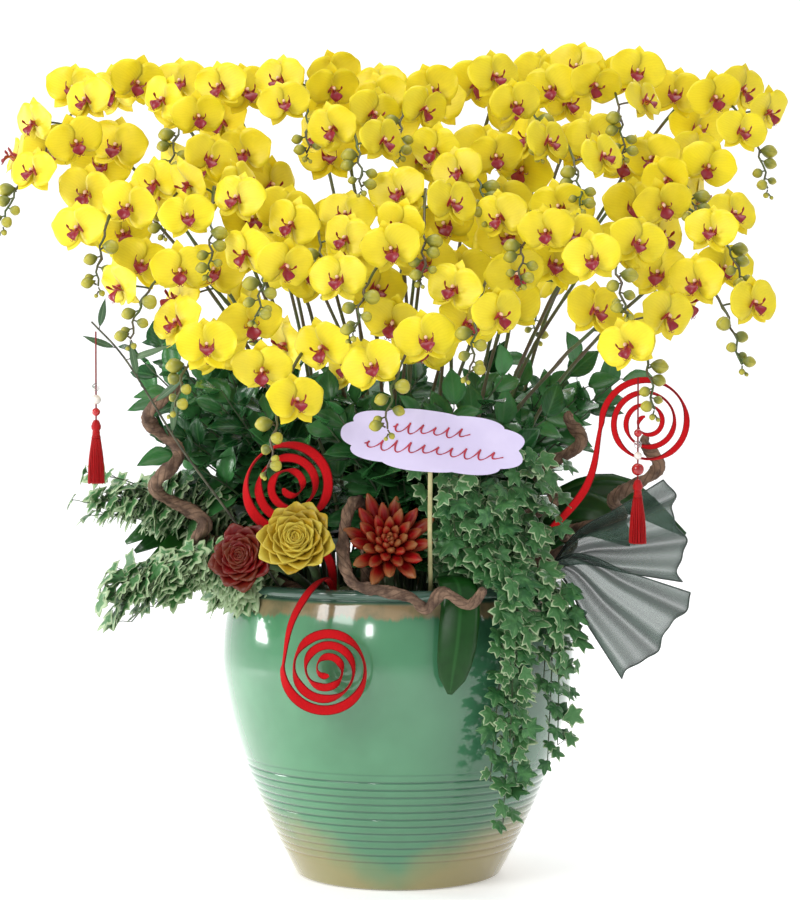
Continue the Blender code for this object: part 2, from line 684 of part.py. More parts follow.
def make_succulents():
    red, gold, bronze = (-0.188, -0.206, 0.424), (-0.122, -0.238, 0.446), (-0.012, -0.212, 0.441)
    rosette("succulent_red", (-0.092, -0.102), red, (-0.35, -1, 0.35), 0.036, 9, 0.75, RED_ROSETTE)
    rosette("succulent_gold", (-0.092, -0.130), gold, (-0.1, -1, 0.45), 0.042, 9, 0.8, GOLD_ROSETTE)
    rosette("succulent_bronze", (-0.010, -0.170), bronze, (0.05, -1, 0.45), 0.050, 9, 0.6, BRONZE_ROSETTE)


# ---------------------------------------------------------------- felt spirals
def felt_spiral(name, tail, centre, radius, turns, spin, first_angle):
    """A wired felt band: a tail from the potting mix that winds into a flat spiral facing the front."""
    steps = int(turns * 11)
    right = np.array([1.0, 0, 0])
    wound = []
    for k in range(steps + 1):
        share = k / steps
        turn = math.radians(first_angle) + spin * 2 * math.pi * turns * share
        r = radius * (1 - 0.86 * share)
        wound.append(np.array(centre) + right * r * math.cos(turn) + UP * r * math.sin(turn))
    wound = np.array(wound)
    path = np.vstack([smooth_through([*tail, wound[0]], 9)[:-1], wound])
    band = [(FELT_RADIUS, 0), (0, 0.8 * FELT_RADIUS), (-FELT_RADIUS, 0), (0, -0.8 * FELT_RADIUS)]
    bm = bmesh.new()
    skin(bm, planted(sweep(path, [band] * len(path), np.array([1.0, 0.2, 0.1]))))
    node(name, bm, RED_FELT)


def make_spirals():
    left = [(-0.080, -0.128, STANDING), (-0.084, -0.165, 0.415), (-0.104, -0.196, 0.447)]
    felt_spiral("felt_spiral_left", left, (-0.132, -0.200, 0.512), 0.058, 3.2, -1, -90)
    front = [(-0.075, -0.150, STANDING), (-0.084, -0.174, 0.392), (-0.094, -0.202, 0.397)]
    front += beside([(-0.112, -0.230, 0.380), (-0.130, -0.248, 0.345)])
    hung = beside([(-0.086, -0.253, 0.294)])[0]
    felt_spiral("felt_spiral_front", front, hung, 0.053, 3.3, 1, 180)
    right = [(0.135, -0.108, STANDING), (0.168, -0.140, 0.430), (0.228, -0.208, 0.510)]
    felt_spiral("felt_spiral_right", right, (0.300, -0.235, 0.590), 0.055, 3.2, -1, 180)


# ---------------------------------------------------------------- twisted vines and the twig
def vine(name, points, radius, finish, rings, swing=0.0, turns=0.0):
    """A woody stem through hand-placed points, coiled about its line where it has a swing."""
    line = smooth_through(points, rings)
    share = np.linspace(0, 1, rings)
    grow = np.minimum(1, 4 * share)[:, None]
    turn = 2 * math.pi * turns * share
    coil = np.stack([np.cos(turn), 0.8 * np.sin(turn), 0 * turn], axis=1) - [1, 0, 0]
    line = line + swing * grow * coil
    thick = radius * (1 - 0.35 * share)
    bm = bmesh.new()
    skin(bm, planted(sweep(line, [circle(r, 5) for r in thick], np.array([0.7, 0.6, 0.1]))))
    node(name, bm, finish)


def make_vines():
    left = [(-0.112, -0.070, STANDING), (-0.190, -0.112, 0.430), (-0.240, -0.135, 0.462)]
    left += [(-0.270, -0.147, 0.530), (-0.272, -0.150, 0.640)]
    vine("vine_left", left, VINE_RADIUS, BROWN_VINE, 30, 0.019, 4.0)
    front = [(-0.040, -0.145, STANDING), (-0.040, -0.172, 0.475), (-0.058, -0.198, 0.488)]
    front += [(-0.067, -0.224, 0.440), (-0.056, -0.240, 0.398), (-0.020, -0.246, 0.388)]
    front += [(0.014, -0.245, 0.380)]
    front += [(0.034, -0.246, 0.366), (0.054, -0.252, 0.386), (0.084, -0.262, 0.372), (0.104, -0.260, 0.392)]
    front = [front[0], *beside(front[1:], 0.402)]
    vine("vine_front", front, 0.85 * VINE_RADIUS, BROWN_VINE, 32)
    inner = [(0.120, 0.015, STANDING), (0.180, -0.040, 0.450), (0.220, -0.085, 0.540), (0.250, -0.090, 0.600)]
    vine("vine_right_inner", inner, VINE_RADIUS, BROWN_VINE, 24, 0.017, 3.5)
    outer = [(0.158, 0.000, STANDING), (0.230, -0.015, 0.430), (0.300, -0.075, 0.480), (0.345, -0.110, 0.570)]
    vine("vine_right_outer", outer, VINE_RADIUS, BROWN_VINE, 24, 0.017, 3.5)
    twig = [(-0.138, -0.110, STANDING), (-0.190, -0.165, 0.450), (-0.265, -0.208, 0.560)]
    twig += [(-0.330, -0.215, 0.665), (-0.372, -0.215, 0.712)]
    leaves = [(0.80, (-0.2, -0.2, 1), 0.045, 0.008), (0.88, (-1, 0.2, 0.3), 0.040, 0.008)]
    sprig("hanging_twig", twig, 0.0018, leaves, TWIG_BARK, 9)


# ---------------------------------------------------------------- tassel ornaments
def make_ornament(side, top, beads):
    """A thin cord, and below it a string of beads that ends in a silk tassel, all threaded as one."""
    x, y, z = top
    cord_end = z - CORD_REACH
    line = bpy.data.curves.new(f"ornament_cord_{side}", "CURVE")
    line.dimensions = "3D"
    line.bevel_depth = CORD_DIAMETER / 2
    line.bevel_resolution = 2
    line.use_fill_caps = True
    count = 16
    spline = line.splines.new("POLY")
    spline.points.add(count - 1)
    for point, height in zip(spline.points, np.linspace(z, cord_end, count)):
        point.co = (x, y, height, 1)
    line.materials.append(RED_SILK)
    made = bpy.data.objects.new(f"ornament_cord_{side}", line)
    bpy.context.scene.collection.objects.link(made)
    thread = CORD_DIAMETER / 2
    height = cord_end - GAP
    profile = [(0, height)]
    for radius in beads:
        middle = height - radius
        profile += [(thread, height - 0.2 * radius), (0.8 * radius, middle + 0.5 * radius), (radius, middle)]
        profile += [(0.8 * radius, middle - 0.5 * radius), (thread, middle - 0.9 * radius)]
        height = middle - radius - BEAD_GAP
    head = height - 0.002
    profile += [(0.004, head), (0.0058, head - 0.006), (0.004, head - 0.012), (0.0075, head - 0.018)]
    profile += [(TASSEL_RADIUS, head - TASSEL_LENGTH), (0, head - TASSEL_LENGTH)]
    turned(f"tassel_{side}", profile, 8, RED_SILK, (x, y))


# ---------------------------------------------------------------- card, stick and ribbon
CARD_LEAN = math.radians(-6)
CARD_CENTRE = np.array([0.042, -0.276, 0.568])


def make_card():
    """A die-cut cloud: a flat board whose outline is a row of lobes round an oval."""
    count = 48
    right = np.array([math.cos(CARD_LEAN), 0, math.sin(CARD_LEAN)])
    top = np.array([-math.sin(CARD_LEAN), 0, math.cos(CARD_LEAN)])
    outline = []
    for k in range(count):
        turn = 2 * math.pi * k / count
        lobe = 0.93 + 0.07 * abs(math.sin(4.5 * turn))
        x = 0.5 * CARD_WIDTH * lobe * math.copysign(abs(math.cos(turn)) ** 0.8, math.cos(turn))
        z = 0.5 * CARD_HEIGHT * lobe * math.copysign(abs(math.sin(turn)) ** 0.8, math.sin(turn))
        outline.append(CARD_CENTRE + right * x + top * z)
    half = np.array([0, CARD_THICKNESS / 2, 0])
    bm = bmesh.new()
    skin(bm, [[p - half for p in outline], [p + half for p in outline]])
    node("greeting_card", bm, CARD_STOCK, smooth=False)
    top_end = CARD_CENTRE + [-0.004, CARD_THICKNESS / 2 + STICK_RADIUS + GAP, 0.015]
    low = top_end + [0, 0.002, -0.060]
    line = np.array([(0.040, -0.178, STANDING), (0.038, -0.24, 0.455), low, top_end])
    bm = bmesh.new()
    skin(bm, planted(sweep(line, [circle(STICK_RADIUS, 6)] * 4, np.array([1.0, 0, 0]))))
    node("card_stick", bm, BAMBOO)


def make_ribbon():
    """Two fans of sheer ribbon, pleated where they are pinched."""
    fans = {
        "ribbon_fan_low": ((0.14, -0.08), (0.205, -0.126, 0.412), (0.115, -0.06, -0.085), (0.055, 0.0, 0.085)),
        "ribbon_fan_high": ((0.16, -0.055), (0.22, -0.1, 0.425), (0.12, -0.06, 0.03), (-0.01, 0.02, 0.08)),
    }
    for name, (foot, pinch, reach, spread) in fans.items():
        foot, pinch = np.array([*foot, STANDING]), np.array(pinch)
        reach, spread = np.array(reach), np.array(spread)
        normal = unit(np.cross(reach, spread))
        rings = []
        for middle, open_by in ((foot, 0.08), (pinch, 0.12), (pinch + reach / 2, 0.6), (pinch + reach, 1.0)):
            front, back = [], []
            for k in range(7):
                fold = 0.005 * (1 if k % 2 else -1) * open_by
                spot = middle + spread * (k / 6 - 0.5) * open_by
                front.append(spot + normal * (fold + 0.0008))
                back.append(spot + normal * (fold - 0.0008))
            rings.append([*front, *reversed(back)])
        bm = bmesh.new()
        skin(bm, planted(rings))
        node(name, bm, SHEER_RIBBON, smooth=False)


make_pot()
make_potting_mix()
make_plants()
make_orchid_leaves()
make_shrubs()
make_ivy()
make_succulents()
make_spirals()
make_vines()
make_ornament("left", (-0.366, -0.2215, 0.700), [0.0050, 0.0060, 0.0050])
make_ornament("right", (0.287, -0.2540, 0.645), [0.0048, 0.0048, 0.0048, 0.0075])
make_card()
make_ribbon()

# What is planted stands higher or lower with the pot's rim.
for made in bpy.context.scene.objects:
    if made.name not in ("pot", "potting_mix"):
        made.location.z += POT_HEIGHT - DRAWN_RIM
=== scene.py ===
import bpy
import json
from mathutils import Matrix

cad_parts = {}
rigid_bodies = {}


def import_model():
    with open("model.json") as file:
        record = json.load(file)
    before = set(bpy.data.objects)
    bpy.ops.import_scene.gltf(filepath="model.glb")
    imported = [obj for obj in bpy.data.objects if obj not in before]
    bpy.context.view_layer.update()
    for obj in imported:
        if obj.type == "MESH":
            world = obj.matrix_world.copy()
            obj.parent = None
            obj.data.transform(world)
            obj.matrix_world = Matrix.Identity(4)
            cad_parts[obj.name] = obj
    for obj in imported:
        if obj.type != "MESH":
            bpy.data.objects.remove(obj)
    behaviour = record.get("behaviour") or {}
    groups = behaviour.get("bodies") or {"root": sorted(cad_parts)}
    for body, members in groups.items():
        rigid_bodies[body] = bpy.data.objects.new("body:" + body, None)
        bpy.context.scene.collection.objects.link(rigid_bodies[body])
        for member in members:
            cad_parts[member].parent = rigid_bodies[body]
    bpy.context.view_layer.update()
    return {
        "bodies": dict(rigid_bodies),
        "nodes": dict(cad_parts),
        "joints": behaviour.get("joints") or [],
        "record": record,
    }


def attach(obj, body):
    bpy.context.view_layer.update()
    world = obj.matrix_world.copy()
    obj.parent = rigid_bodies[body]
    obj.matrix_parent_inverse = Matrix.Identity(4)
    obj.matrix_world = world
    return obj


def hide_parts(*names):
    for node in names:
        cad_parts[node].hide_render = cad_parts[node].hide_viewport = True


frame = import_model()

import json
import math

import bpy
import numpy as np
from mathutils import Vector

# ---------------------------------------------------------------- camera and studio
# The display stands on a plain pale floor and is seen from the front, from a little over half its height.
# Large soft panels light it from both sides and above; two small ones give the glaze its highlights.
EYE = (0.002, -3.2, 0.645)
LOOK_DOWN = math.radians(1.7)
LENS_MM = 98.4


def camera_at(place, look_down, lens):
    camera = bpy.data.cameras.new("camera")
    camera.lens = lens
    holder = bpy.data.objects.new("camera", camera)
    holder.location = place
    holder.rotation_euler = (math.pi / 2 - look_down, 0, 0)
    bpy.context.scene.collection.objects.link(holder)
    bpy.context.scene.camera = holder


def panel(name, place, target, size, watts):
    lamp = bpy.data.lights.new(name, "AREA")
    lamp.shape = "RECTANGLE"
    lamp.size, lamp.size_y = size
    lamp.energy = watts
    holder = bpy.data.objects.new(name, lamp)
    holder.location = place
    aim = Vector(target) - Vector(place)
    holder.rotation_euler = aim.to_track_quat("-Z", "Y").to_euler()
    bpy.context.scene.collection.objects.link(holder)


camera_at(EYE, LOOK_DOWN, LENS_MM)
panel("key_left", (-2.2, -2.4, 2.1), (0, 0, 0.6), (1.6, 1.6), 66)
panel("window_left", (-2.3, 0.25, 0.75), (0, 0, 0.35), (0.5, 0.8), 20)
panel("window_front", (-1.0, -3.0, 1.1), (0, 0, 0.3), (0.25, 0.35), 6)
panel("fill_right", (2.4, -2.0, 1.3), (0, 0, 0.5), (1.6, 1.6), 10)
panel("top", (0, 0.2, 2.9), (0, 0, 0.6), (2.0, 2.0), 34)
panel("rim_back", (1.2, 2.4, 1.9), (0, 0, 0.7), (1.4, 1.4), 22)
world = bpy.data.worlds.new("studio")
world.use_nodes = True
world.node_tree.nodes["Background"].inputs["Color"].default_value = (0.97, 0.98, 1.0, 1)
world.node_tree.nodes["Background"].inputs["Strength"].default_value = 0.50
bpy.context.scene.world = world
bpy.context.scene.view_settings.view_transform = "Standard"


# ---------------------------------------------------------------- tassel cords
# Two thin twisted silk cords hang straight down, one from the twig at the left and one from the felt spiral
# at the right. Each runs free for a way, then on through its beads and into the head of its tassel.
CORD_DIAMETER = 0.0020
CORD_FREE = 0.0623
BEAD_GAP = 0.004
BEADS = {"left": [0.0050, 0.0060, 0.0050], "right": [0.0048, 0.0048, 0.0048, 0.0075]}
CORD_IN_TASSEL = 0.021
CORD_LENGTHS = {side: CORD_FREE + sum(2 * r + BEAD_GAP for r in radii) + CORD_IN_TASSEL
                for side, radii in BEADS.items()}
CORD_TOPS = {"left": (-0.366, -0.2215, 0.700), "right": (0.287, -0.2540, 0.645)}
SILK_RED = (0.58, 0.002, 0.004)
SILK_DARK = (0.20, 0.0, 0.002)


def feed(tree, socket, value):
    """Links a socket to another one, or sets its value; a colour is given as three numbers."""
    if isinstance(value, bpy.types.NodeSocket):
        tree.links.new(value, socket)
    elif socket.type == "RGBA":
        socket.default_value = (*value, 1)
    else:
        socket.default_value = value


def add(tree, kind, **inputs):
    """Adds a shader node with its named inputs linked or set."""
    made = tree.nodes.new(kind)
    for name, value in inputs.items():
        feed(tree, made.inputs[name.replace("_", " ")], value)
    return made


def maths(tree, operation, *values):
    made = tree.nodes.new("ShaderNodeMath")
    made.operation = operation
    for socket, value in zip(made.inputs, values):
        feed(tree, socket, value)
    return made.outputs[0]


def times(tree, first, second):
    return maths(tree, "MULTIPLY", first, second)


def rest_of(tree, share):
    """What a share leaves of one."""
    return maths(tree, "SUBTRACT", 1.0, share)


def wave_of(tree, value):
    """The size of a sine, from 0 to 1."""
    return maths(tree, "ABSOLUTE", maths(tree, "SINE", value))


def spot_on(tree):
    """Where a point lies on the piece, in metres."""
    return add(tree, "ShaderNodeTexCoord").outputs["Object"]


def parts_of(tree, vector):
    return add(tree, "ShaderNodeSeparateXYZ", Vector=vector).outputs


def noise_of(tree, where, scale, detail, **more):
    return add(tree, "ShaderNodeTexNoise", Vector=where, Scale=scale, Detail=detail, **more).outputs["Fac"]


def blend_of(tree, share, first, second):
    """A colour between two, by a share from 0 to 1."""
    made = tree.nodes.new("ShaderNodeMix")
    made.data_type = "RGBA"
    for number, value in ((0, share), (6, first), (7, second)):
        feed(tree, made.inputs[number], value)
    return made.outputs[2]


def step_of(tree, value, low, high):
    """A smooth step from 0 to 1 between two values."""
    made = tree.nodes.new("ShaderNodeMapRange")
    made.interpolation_type = "SMOOTHSTEP"
    for name, amount in (("Value", value), ("From Min", low), ("From Max", high)):
        feed(tree, made.inputs[name], amount)
    return made.outputs["Result"]


def finish_of(name, roughness, **sockets):
    """A material with its Principled shader, and the tree that its colour is wired into."""
    made = bpy.data.materials.new(name)
    made.use_nodes = True
    shader = made.node_tree.nodes["Principled BSDF"]
    shader.inputs["Roughness"].default_value = roughness
    for name, value in sockets.items():
        feed(made.node_tree, shader.inputs[name.replace("_", " ")], value)
    return made, made.node_tree, shader


def wire(tree, shader, colour, height=None, strength=0.3, distance=0.001):
    """Wires a finish's colour and, where it has one, the height of its bump."""
    tree.links.new(colour, shader.inputs["Base Color"])
    if height is not None:
        bump = add(tree, "ShaderNodeBump", Height=height, Strength=strength, Distance=distance)
        tree.links.new(bump.outputs["Normal"], shader.inputs["Normal"])


def effect(name, inputs, outputs):
    """A shader node group with named sockets: its tree, its inputs and its output node."""
    tree = bpy.data.node_groups.new(name, "ShaderNodeTree")
    for direction, sockets in (("INPUT", inputs), ("OUTPUT", outputs)):
        for label, kind in sockets:
            tree.interface.new_socket(name=label, in_out=direction, socket_type=f"NodeSocket{kind}")
    return tree, tree.nodes.new("NodeGroupInput").outputs, tree.nodes.new("NodeGroupOutput")


def use(tree, group, **inputs):
    """Places a node group with its inputs linked or set."""
    made = tree.nodes.new("ShaderNodeGroup")
    made.node_tree = group
    for name, value in inputs.items():
        feed(tree, made.inputs[name], value)
    return made.outputs


def make_yarn():
    """Twisted strands: slanting ridges across (x) and along (y) a piece's own place."""
    tree, given, out = effect(
        "twisted_strands",
        [("Place", "Vector"), ("Across", "Float"), ("Along", "Float"), ("Fuzz", "Float")],
        [("Ridge", "Float"), ("Height", "Float")],
    )
    across, along, _ = parts_of(tree, given["Place"])
    slant = maths(tree, "ADD", times(tree, across, given["Across"]), times(tree, along, given["Along"]))
    ridge = wave_of(tree, times(tree, slant, math.pi))
    fuzz = times(tree, noise_of(tree, given["Place"], 60.0, 3.0), given["Fuzz"])
    tree.links.new(ridge, out.inputs["Ridge"])
    tree.links.new(maths(tree, "ADD", ridge, fuzz), out.inputs["Height"])
    return tree


STRANDS = make_yarn()


def place_on(tree):
    """The place that each mesh carries: x across the piece, y along it, z a number of its own."""
    made = tree.nodes.new("ShaderNodeAttribute")
    made.attribute_name = "place"
    return made.outputs["Vector"]


def make_silk():
    silk, tree, shader = finish_of("red_silk_thread", 0.42, Specular_IOR_Level=0.3)
    strands = use(tree, STRANDS, Place=place_on(tree), Across=4.0, Along=30.0, Fuzz=0.25)
    colour = blend_of(tree, strands["Ridge"], SILK_DARK, SILK_RED)
    wire(tree, shader, colour, strands["Height"], 0.5, 0.0006)
    return silk


RED_SILK = make_silk()


def piece(name, bits, finishes, nodes=(), smooth=True):
    """One mesh from bits of (points, faces, finish number, place), riding on the pot and its plants."""
    points = np.vstack([bit[0] for bit in bits])
    places = np.vstack([bit[3] for bit in bits])
    faces, numbers, base = [], [], 0
    for own_points, own_faces, number, _ in bits:
        faces += [tuple(int(v) + base for v in face) for face in own_faces]
        numbers += [number] * len(own_faces)
        base += len(own_points)
    mesh = bpy.data.meshes.new(name)
    mesh.from_pydata(points.tolist(), [], faces)
    for finish in finishes:
        mesh.materials.append(finish)
    mesh.polygons.foreach_set("material_index", numbers)
    place = mesh.attributes.new("place", "FLOAT_VECTOR", "POINT")
    place.data.foreach_set("vector", places.astype(np.float32).ravel())
    mesh.validate()
    if smooth:
        mesh.shade_smooth()
    made = bpy.data.objects.new(name, mesh)
    bpy.context.scene.collection.objects.link(made)
    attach(made, "root")
    if nodes:
        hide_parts(*nodes)
    return made


def unit(vector):
    vector = np.asarray(vector, float)
    return vector / np.linalg.norm(vector)


def bezier(start, leave, arrive, end, count):
    t = np.linspace(0, 1, count)[:, None]
    s = 1 - t
    return s**3 * start + 3 * s * s * t * leave + 3 * s * t * t * arrive + t**3 * end


def travelled(path):
    return np.concatenate([[0], np.cumsum(np.linalg.norm(np.diff(path, axis=0), axis=1))])


def length_of(path):
    return travelled(path)[-1]


def at_distances(path, distances):
    along = travelled(path)
    return np.stack([np.interp(distances, along, path[:, k]) for k in range(3)], axis=1)


def smooth_through(points, count):
    """A Catmull-Rom curve through given points, sampled evenly."""
    points = np.array(points, float)
    padded = np.vstack([2 * points[0] - points[1], points, 2 * points[-1] - points[-2]])
    fine = []
    for a, b, c, d in zip(padded, padded[1:], padded[2:], padded[3:]):
        fine.append(bezier(b, b + (c - a) / 6, c - (d - b) / 6, c, 13)[:-1])
    fine = np.vstack([*fine, points[-1:]])
    return at_distances(fine, np.linspace(0, length_of(fine), count))


def tube(path, radii, sides, number, seed=0.0):
    """A closed tube along a path, with its own finish number and seed."""
    path = np.asarray(path, float)
    radii = np.broadcast_to(radii, len(path))
    tangents = np.gradient(path, axis=0)
    tangents /= np.linalg.norm(tangents, axis=1, keepdims=True)
    side = np.array([0.9, 0.35, 0.1])
    rings, places = [], []
    along = travelled(path)
    for k, (point, tangent, radius) in enumerate(zip(path, tangents, radii)):
        side = unit(side - side.dot(tangent) * tangent)
        above = np.cross(tangent, side)
        turns = np.arange(sides) * 2 * math.pi / sides
        rings.append(point + np.outer(np.cos(turns) * radius, side) + np.outer(np.sin(turns) * radius, above))
        place = [turns / (2 * math.pi), np.full(sides, along[k] * 100), np.full(sides, seed)]
        places.append(np.stack(place, axis=1))
    count = len(path)
    faces = []
    for k in range(count - 1):
        for i in range(sides):
            j = (i + 1) % sides
            faces.append((k * sides + i, k * sides + j, (k + 1) * sides + j, (k + 1) * sides + i))
    faces.append(tuple(range(sides))[::-1])
    faces.append(tuple(range((count - 1) * sides, count * sides)))
    return np.vstack(rings), faces, number, np.vstack(places)


CORD_POINTS = 16
for hung, top in CORD_TOPS.items():
    line = bpy.data.curves.new(f"silk_cord_{hung}", "CURVE")
    line.dimensions = "3D"
    line.bevel_depth = CORD_DIAMETER / 2
    line.bevel_resolution = 3
    line.use_fill_caps = True
    spline = line.splines.new("POLY")
    spline.points.add(CORD_POINTS - 1)
    for point, height in zip(spline.points, np.linspace(top[2], top[2] - CORD_LENGTHS[hung], CORD_POINTS)):
        point.co = (top[0], top[1], height, 1)
    line.materials.append(RED_SILK)
    hanging = bpy.data.objects.new(f"silk_cord_{hung}", line)
    bpy.context.scene.collection.objects.link(hanging)
    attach(hanging, "root")
    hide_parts(f"ornament_cord_{hung}")


# ---------------------------------------------------------------- floor
# A wide pale studio sweep, floor and backdrop in one, only there to stand the pot on. Seen from behind, the
# backdrop is clear.
floor_mesh = bpy.data.meshes.new("floor")
bend_start, bend_radius = 2.5, 2
sweep_line = [(-7, 0), (bend_start, 0)]
for turn in np.linspace(0.1, 1.57, 14):
    sweep_line.append((bend_start + bend_radius * math.sin(turn), bend_radius * (1 - math.cos(turn))))
sweep_line.append((bend_start + bend_radius, 7))
floor_mesh.from_pydata([(x, y, z) for y, z in sweep_line for x in (-9, 9)], [],
                       [(2 * k, 2 * k + 1, 2 * k + 3, 2 * k + 2) for k in range(len(sweep_line) - 1)])
floor_finish, tree, shader = finish_of("pale_floor", 0.8, Emission_Color=(1, 1, 1), Emission_Strength=0.34)
speckle = add(tree, "ShaderNodeTexNoise", Scale=3.0, Detail=2.0)
wire(tree, shader, blend_of(tree, speckle.outputs["Fac"], (0.86, 0.86, 0.86), (0.92, 0.92, 0.92)))
behind = add(tree, "ShaderNodeNewGeometry").outputs["Backfacing"]
tree.links.new(rest_of(tree, behind), shader.inputs["Alpha"])
floor_mesh.materials.append(floor_finish)
floor = bpy.data.objects.new("floor", floor_mesh)
bpy.context.scene.collection.objects.link(floor)


# ---------------------------------------------------------------- pot
# A thrown stoneware jar with a celadon glaze. Throwing rings run round its lower third, the glaze breaks to
# bare tan clay at the rim and foot, and the mouth has a rolled lip. It stands on its own flat foot.
POT_HEIGHT = 0.385
POT_FOOT_RADIUS = 0.132
POT_BELLY_RADIUS = 0.228
POT_BELLY_HEIGHT = 0.280
POT_MOUTH_RADIUS = 0.210
POT_WALL = 0.013
POT_FLOOR = 0.018
RIM_DEPTH = 0.014
RIM_OVERHANG = 0.004
RINGS_FROM, RINGS_TO, RING_PITCH, RING_DEPTH = 0.030, 0.160, 0.0098, 0.0018
CELADON_LIGHT = (0.095, 0.290, 0.145)
# painted shade for the darker right side of the jar
CELADON_PAINTED_SHADE = (0.030, 0.120, 0.060)
CELADON_DEEP = (0.018, 0.085, 0.050)
CELADON_CLOUD = (0.065, 0.215, 0.105)
LIP_GLAZE = (0.055, 0.12, 0.085)
BARE_CLAY = (0.36, 0.235, 0.125)
BARE_CLAY_DARK = (0.21, 0.16, 0.09)
OCHRE = (0.40, 0.25, 0.085)
LIP_FOOT, BARE_BAND_FOOT, RUN_LENGTH = 0.366, 0.363, 0.030


def pot_radius(height):
    """The outside radius of the pot's wall at a height."""
    if height < POT_BELLY_HEIGHT:
        below = 1 - height / POT_BELLY_HEIGHT
        return POT_BELLY_RADIUS - (POT_BELLY_RADIUS - POT_FOOT_RADIUS) * below**1.6
    above = (height - POT_BELLY_HEIGHT) / (POT_HEIGHT - POT_BELLY_HEIGHT)
    return POT_BELLY_RADIUS - (POT_BELLY_RADIUS - POT_MOUTH_RADIUS) * above**2.2


def ring_relief(height):
    """The throwing rings' depth at a height: rounded ridges that fade in and out."""
    fade = np.clip(min(height - RINGS_FROM, RINGS_TO - height) / 0.012, 0, 1)
    return -RING_DEPTH * fade * (1 - abs(math.sin(math.pi * height / RING_PITCH))) ** 2


def turned(profile, sides, number=0):
    """The surface of revolution of (radius, height) pairs that start and end on the axis."""
    turns = np.arange(sides) * 2 * math.pi / sides
    points, places, starts = [], [], []
    along = 0.0
    for k, (radius, height) in enumerate(profile):
        along += 0 if k == 0 else math.dist(profile[k - 1], (radius, height))
        starts.append(len(points))
        spots = [(radius * math.cos(t), radius * math.sin(t)) for t in turns] if radius else [(0.0, 0.0)]
        points += [(x, y, height) for x, y in spots]
        places += [(i / sides, along * 100, 0.0) for i in range(len(spots))]
    faces = []
    for k in range(len(profile) - 1):
        a, b = starts[k], starts[k + 1]
        for i in range(sides):
            j = (i + 1) % sides
            low = (a + i, a + j) if profile[k][0] else (a,)
            high = (b + j, b + i) if profile[k + 1][0] else (b,)
            faces.append((*low, *high))
    return np.array(points), faces, number, np.array(places)


def make_mottle():
    """Two colours clouded together, with a fine grain for bump."""
    tree, given, out = effect(
        "clouding",
        [("Scale", "Float"), ("Light", "Color"), ("Dark", "Color"), ("Grain", "Float")],
        [("Color", "Color"), ("Mask", "Float"), ("Height", "Float")],
    )
    where = spot_on(tree)
    mask = step_of(tree, noise_of(tree, where, given["Scale"], 4.0, Roughness=0.6), 0.32, 0.68)
    tree.links.new(blend_of(tree, mask, given["Dark"], given["Light"]), out.inputs["Color"])
    tree.links.new(mask, out.inputs["Mask"])
    tree.links.new(noise_of(tree, where, given["Grain"], 3.0), out.inputs["Height"])
    return tree


CLOUDING = make_mottle()


def clouded(name, roughness, scale, light, dark, grain, bump=None, **sockets):
    """A plain finish of two colours clouded together; bump gives its grain's strength and depth."""
    made, tree, shader = finish_of(name, roughness, **sockets)
    cloud = use(tree, CLOUDING, Scale=scale, Light=light, Dark=dark, Grain=grain)
    wire(tree, shader, cloud["Color"], *((cloud["Height"], *bump) if bump else ()))
    return made


def make_glaze():
    glaze, tree, shader = finish_of("celadon_glaze", 0.13, Coat_Weight=0.6, Coat_Roughness=0.05, IOR=1.5)
    where = spot_on(tree)
    right, back, height = parts_of(tree, where)
    cloud = use(tree, CLOUDING, Scale=5.0, Light=CELADON_LIGHT, Dark=CELADON_CLOUD, Grain=160.0)
    # painted shade: the glaze is darkened towards the jar's right side, where less light falls
    shaded_right_side = times(tree, step_of(tree, right, -0.12, 0.18), 0.85)
    body = blend_of(tree, shaded_right_side, cloud["Color"], CELADON_PAINTED_SHADE)
    # it pools darker in the throwing rings and runs thin over their crests
    ring = wave_of(tree, times(tree, height, math.pi / RING_PITCH))
    above_first = step_of(tree, height, RINGS_FROM - 0.004, RINGS_FROM + 0.012)
    below_last = rest_of(tree, step_of(tree, height, RINGS_TO - 0.012, RINGS_TO + 0.004))
    pooled = times(tree, times(tree, above_first, below_last), rest_of(tree, step_of(tree, ring, 0.0, 0.7)))
    colour = blend_of(tree, times(tree, pooled, 0.85), body, CELADON_DEEP)
    # drips: the bare band under the lip ends in runs of different length
    around = times(tree, maths(tree, "ARCTAN2", back, right), 7.0)
    run_spot = add(tree, "ShaderNodeCombineXYZ", X=around, Y=0.0, Z=0.3).outputs[0]
    runs = noise_of(tree, run_spot, 1.6, 4.0, Roughness=0.65)
    edge = maths(tree, "ADD", times(tree, runs, -RUN_LENGTH), BARE_BAND_FOOT)
    bare = step_of(tree, height, edge, maths(tree, "ADD", edge, 0.006))
    under_lip = rest_of(tree, step_of(tree, height, LIP_FOOT, LIP_FOOT + 0.005))
    clay = use(tree, CLOUDING, Scale=30.0, Light=BARE_CLAY, Dark=BARE_CLAY_DARK, Grain=300.0)
    colour = blend_of(tree, times(tree, times(tree, bare, under_lip), 0.85), colour, clay["Color"])
    lip = step_of(tree, height, LIP_FOOT + 0.0005, LIP_FOOT + 0.005)
    colour = blend_of(tree, lip, colour, LIP_GLAZE)
    # the foot shows ochre clay where the glaze stops, higher at the two sides
    sides = times(tree, maths(tree, "ABSOLUTE", right), 0.42)
    foot_edge = maths(tree, "ADD", times(tree, noise_of(tree, where, 9.0, 3.0), 0.080), -0.052)
    foot_edge = maths(tree, "ADD", foot_edge, sides)
    foot = rest_of(tree, step_of(tree, height, foot_edge, maths(tree, "ADD", foot_edge, 0.060)))
    colour = blend_of(tree, times(tree, foot, 0.62), colour, OCHRE)
    wire(tree, shader, colour, cloud["Height"], 0.06, 0.0008)
    return glaze


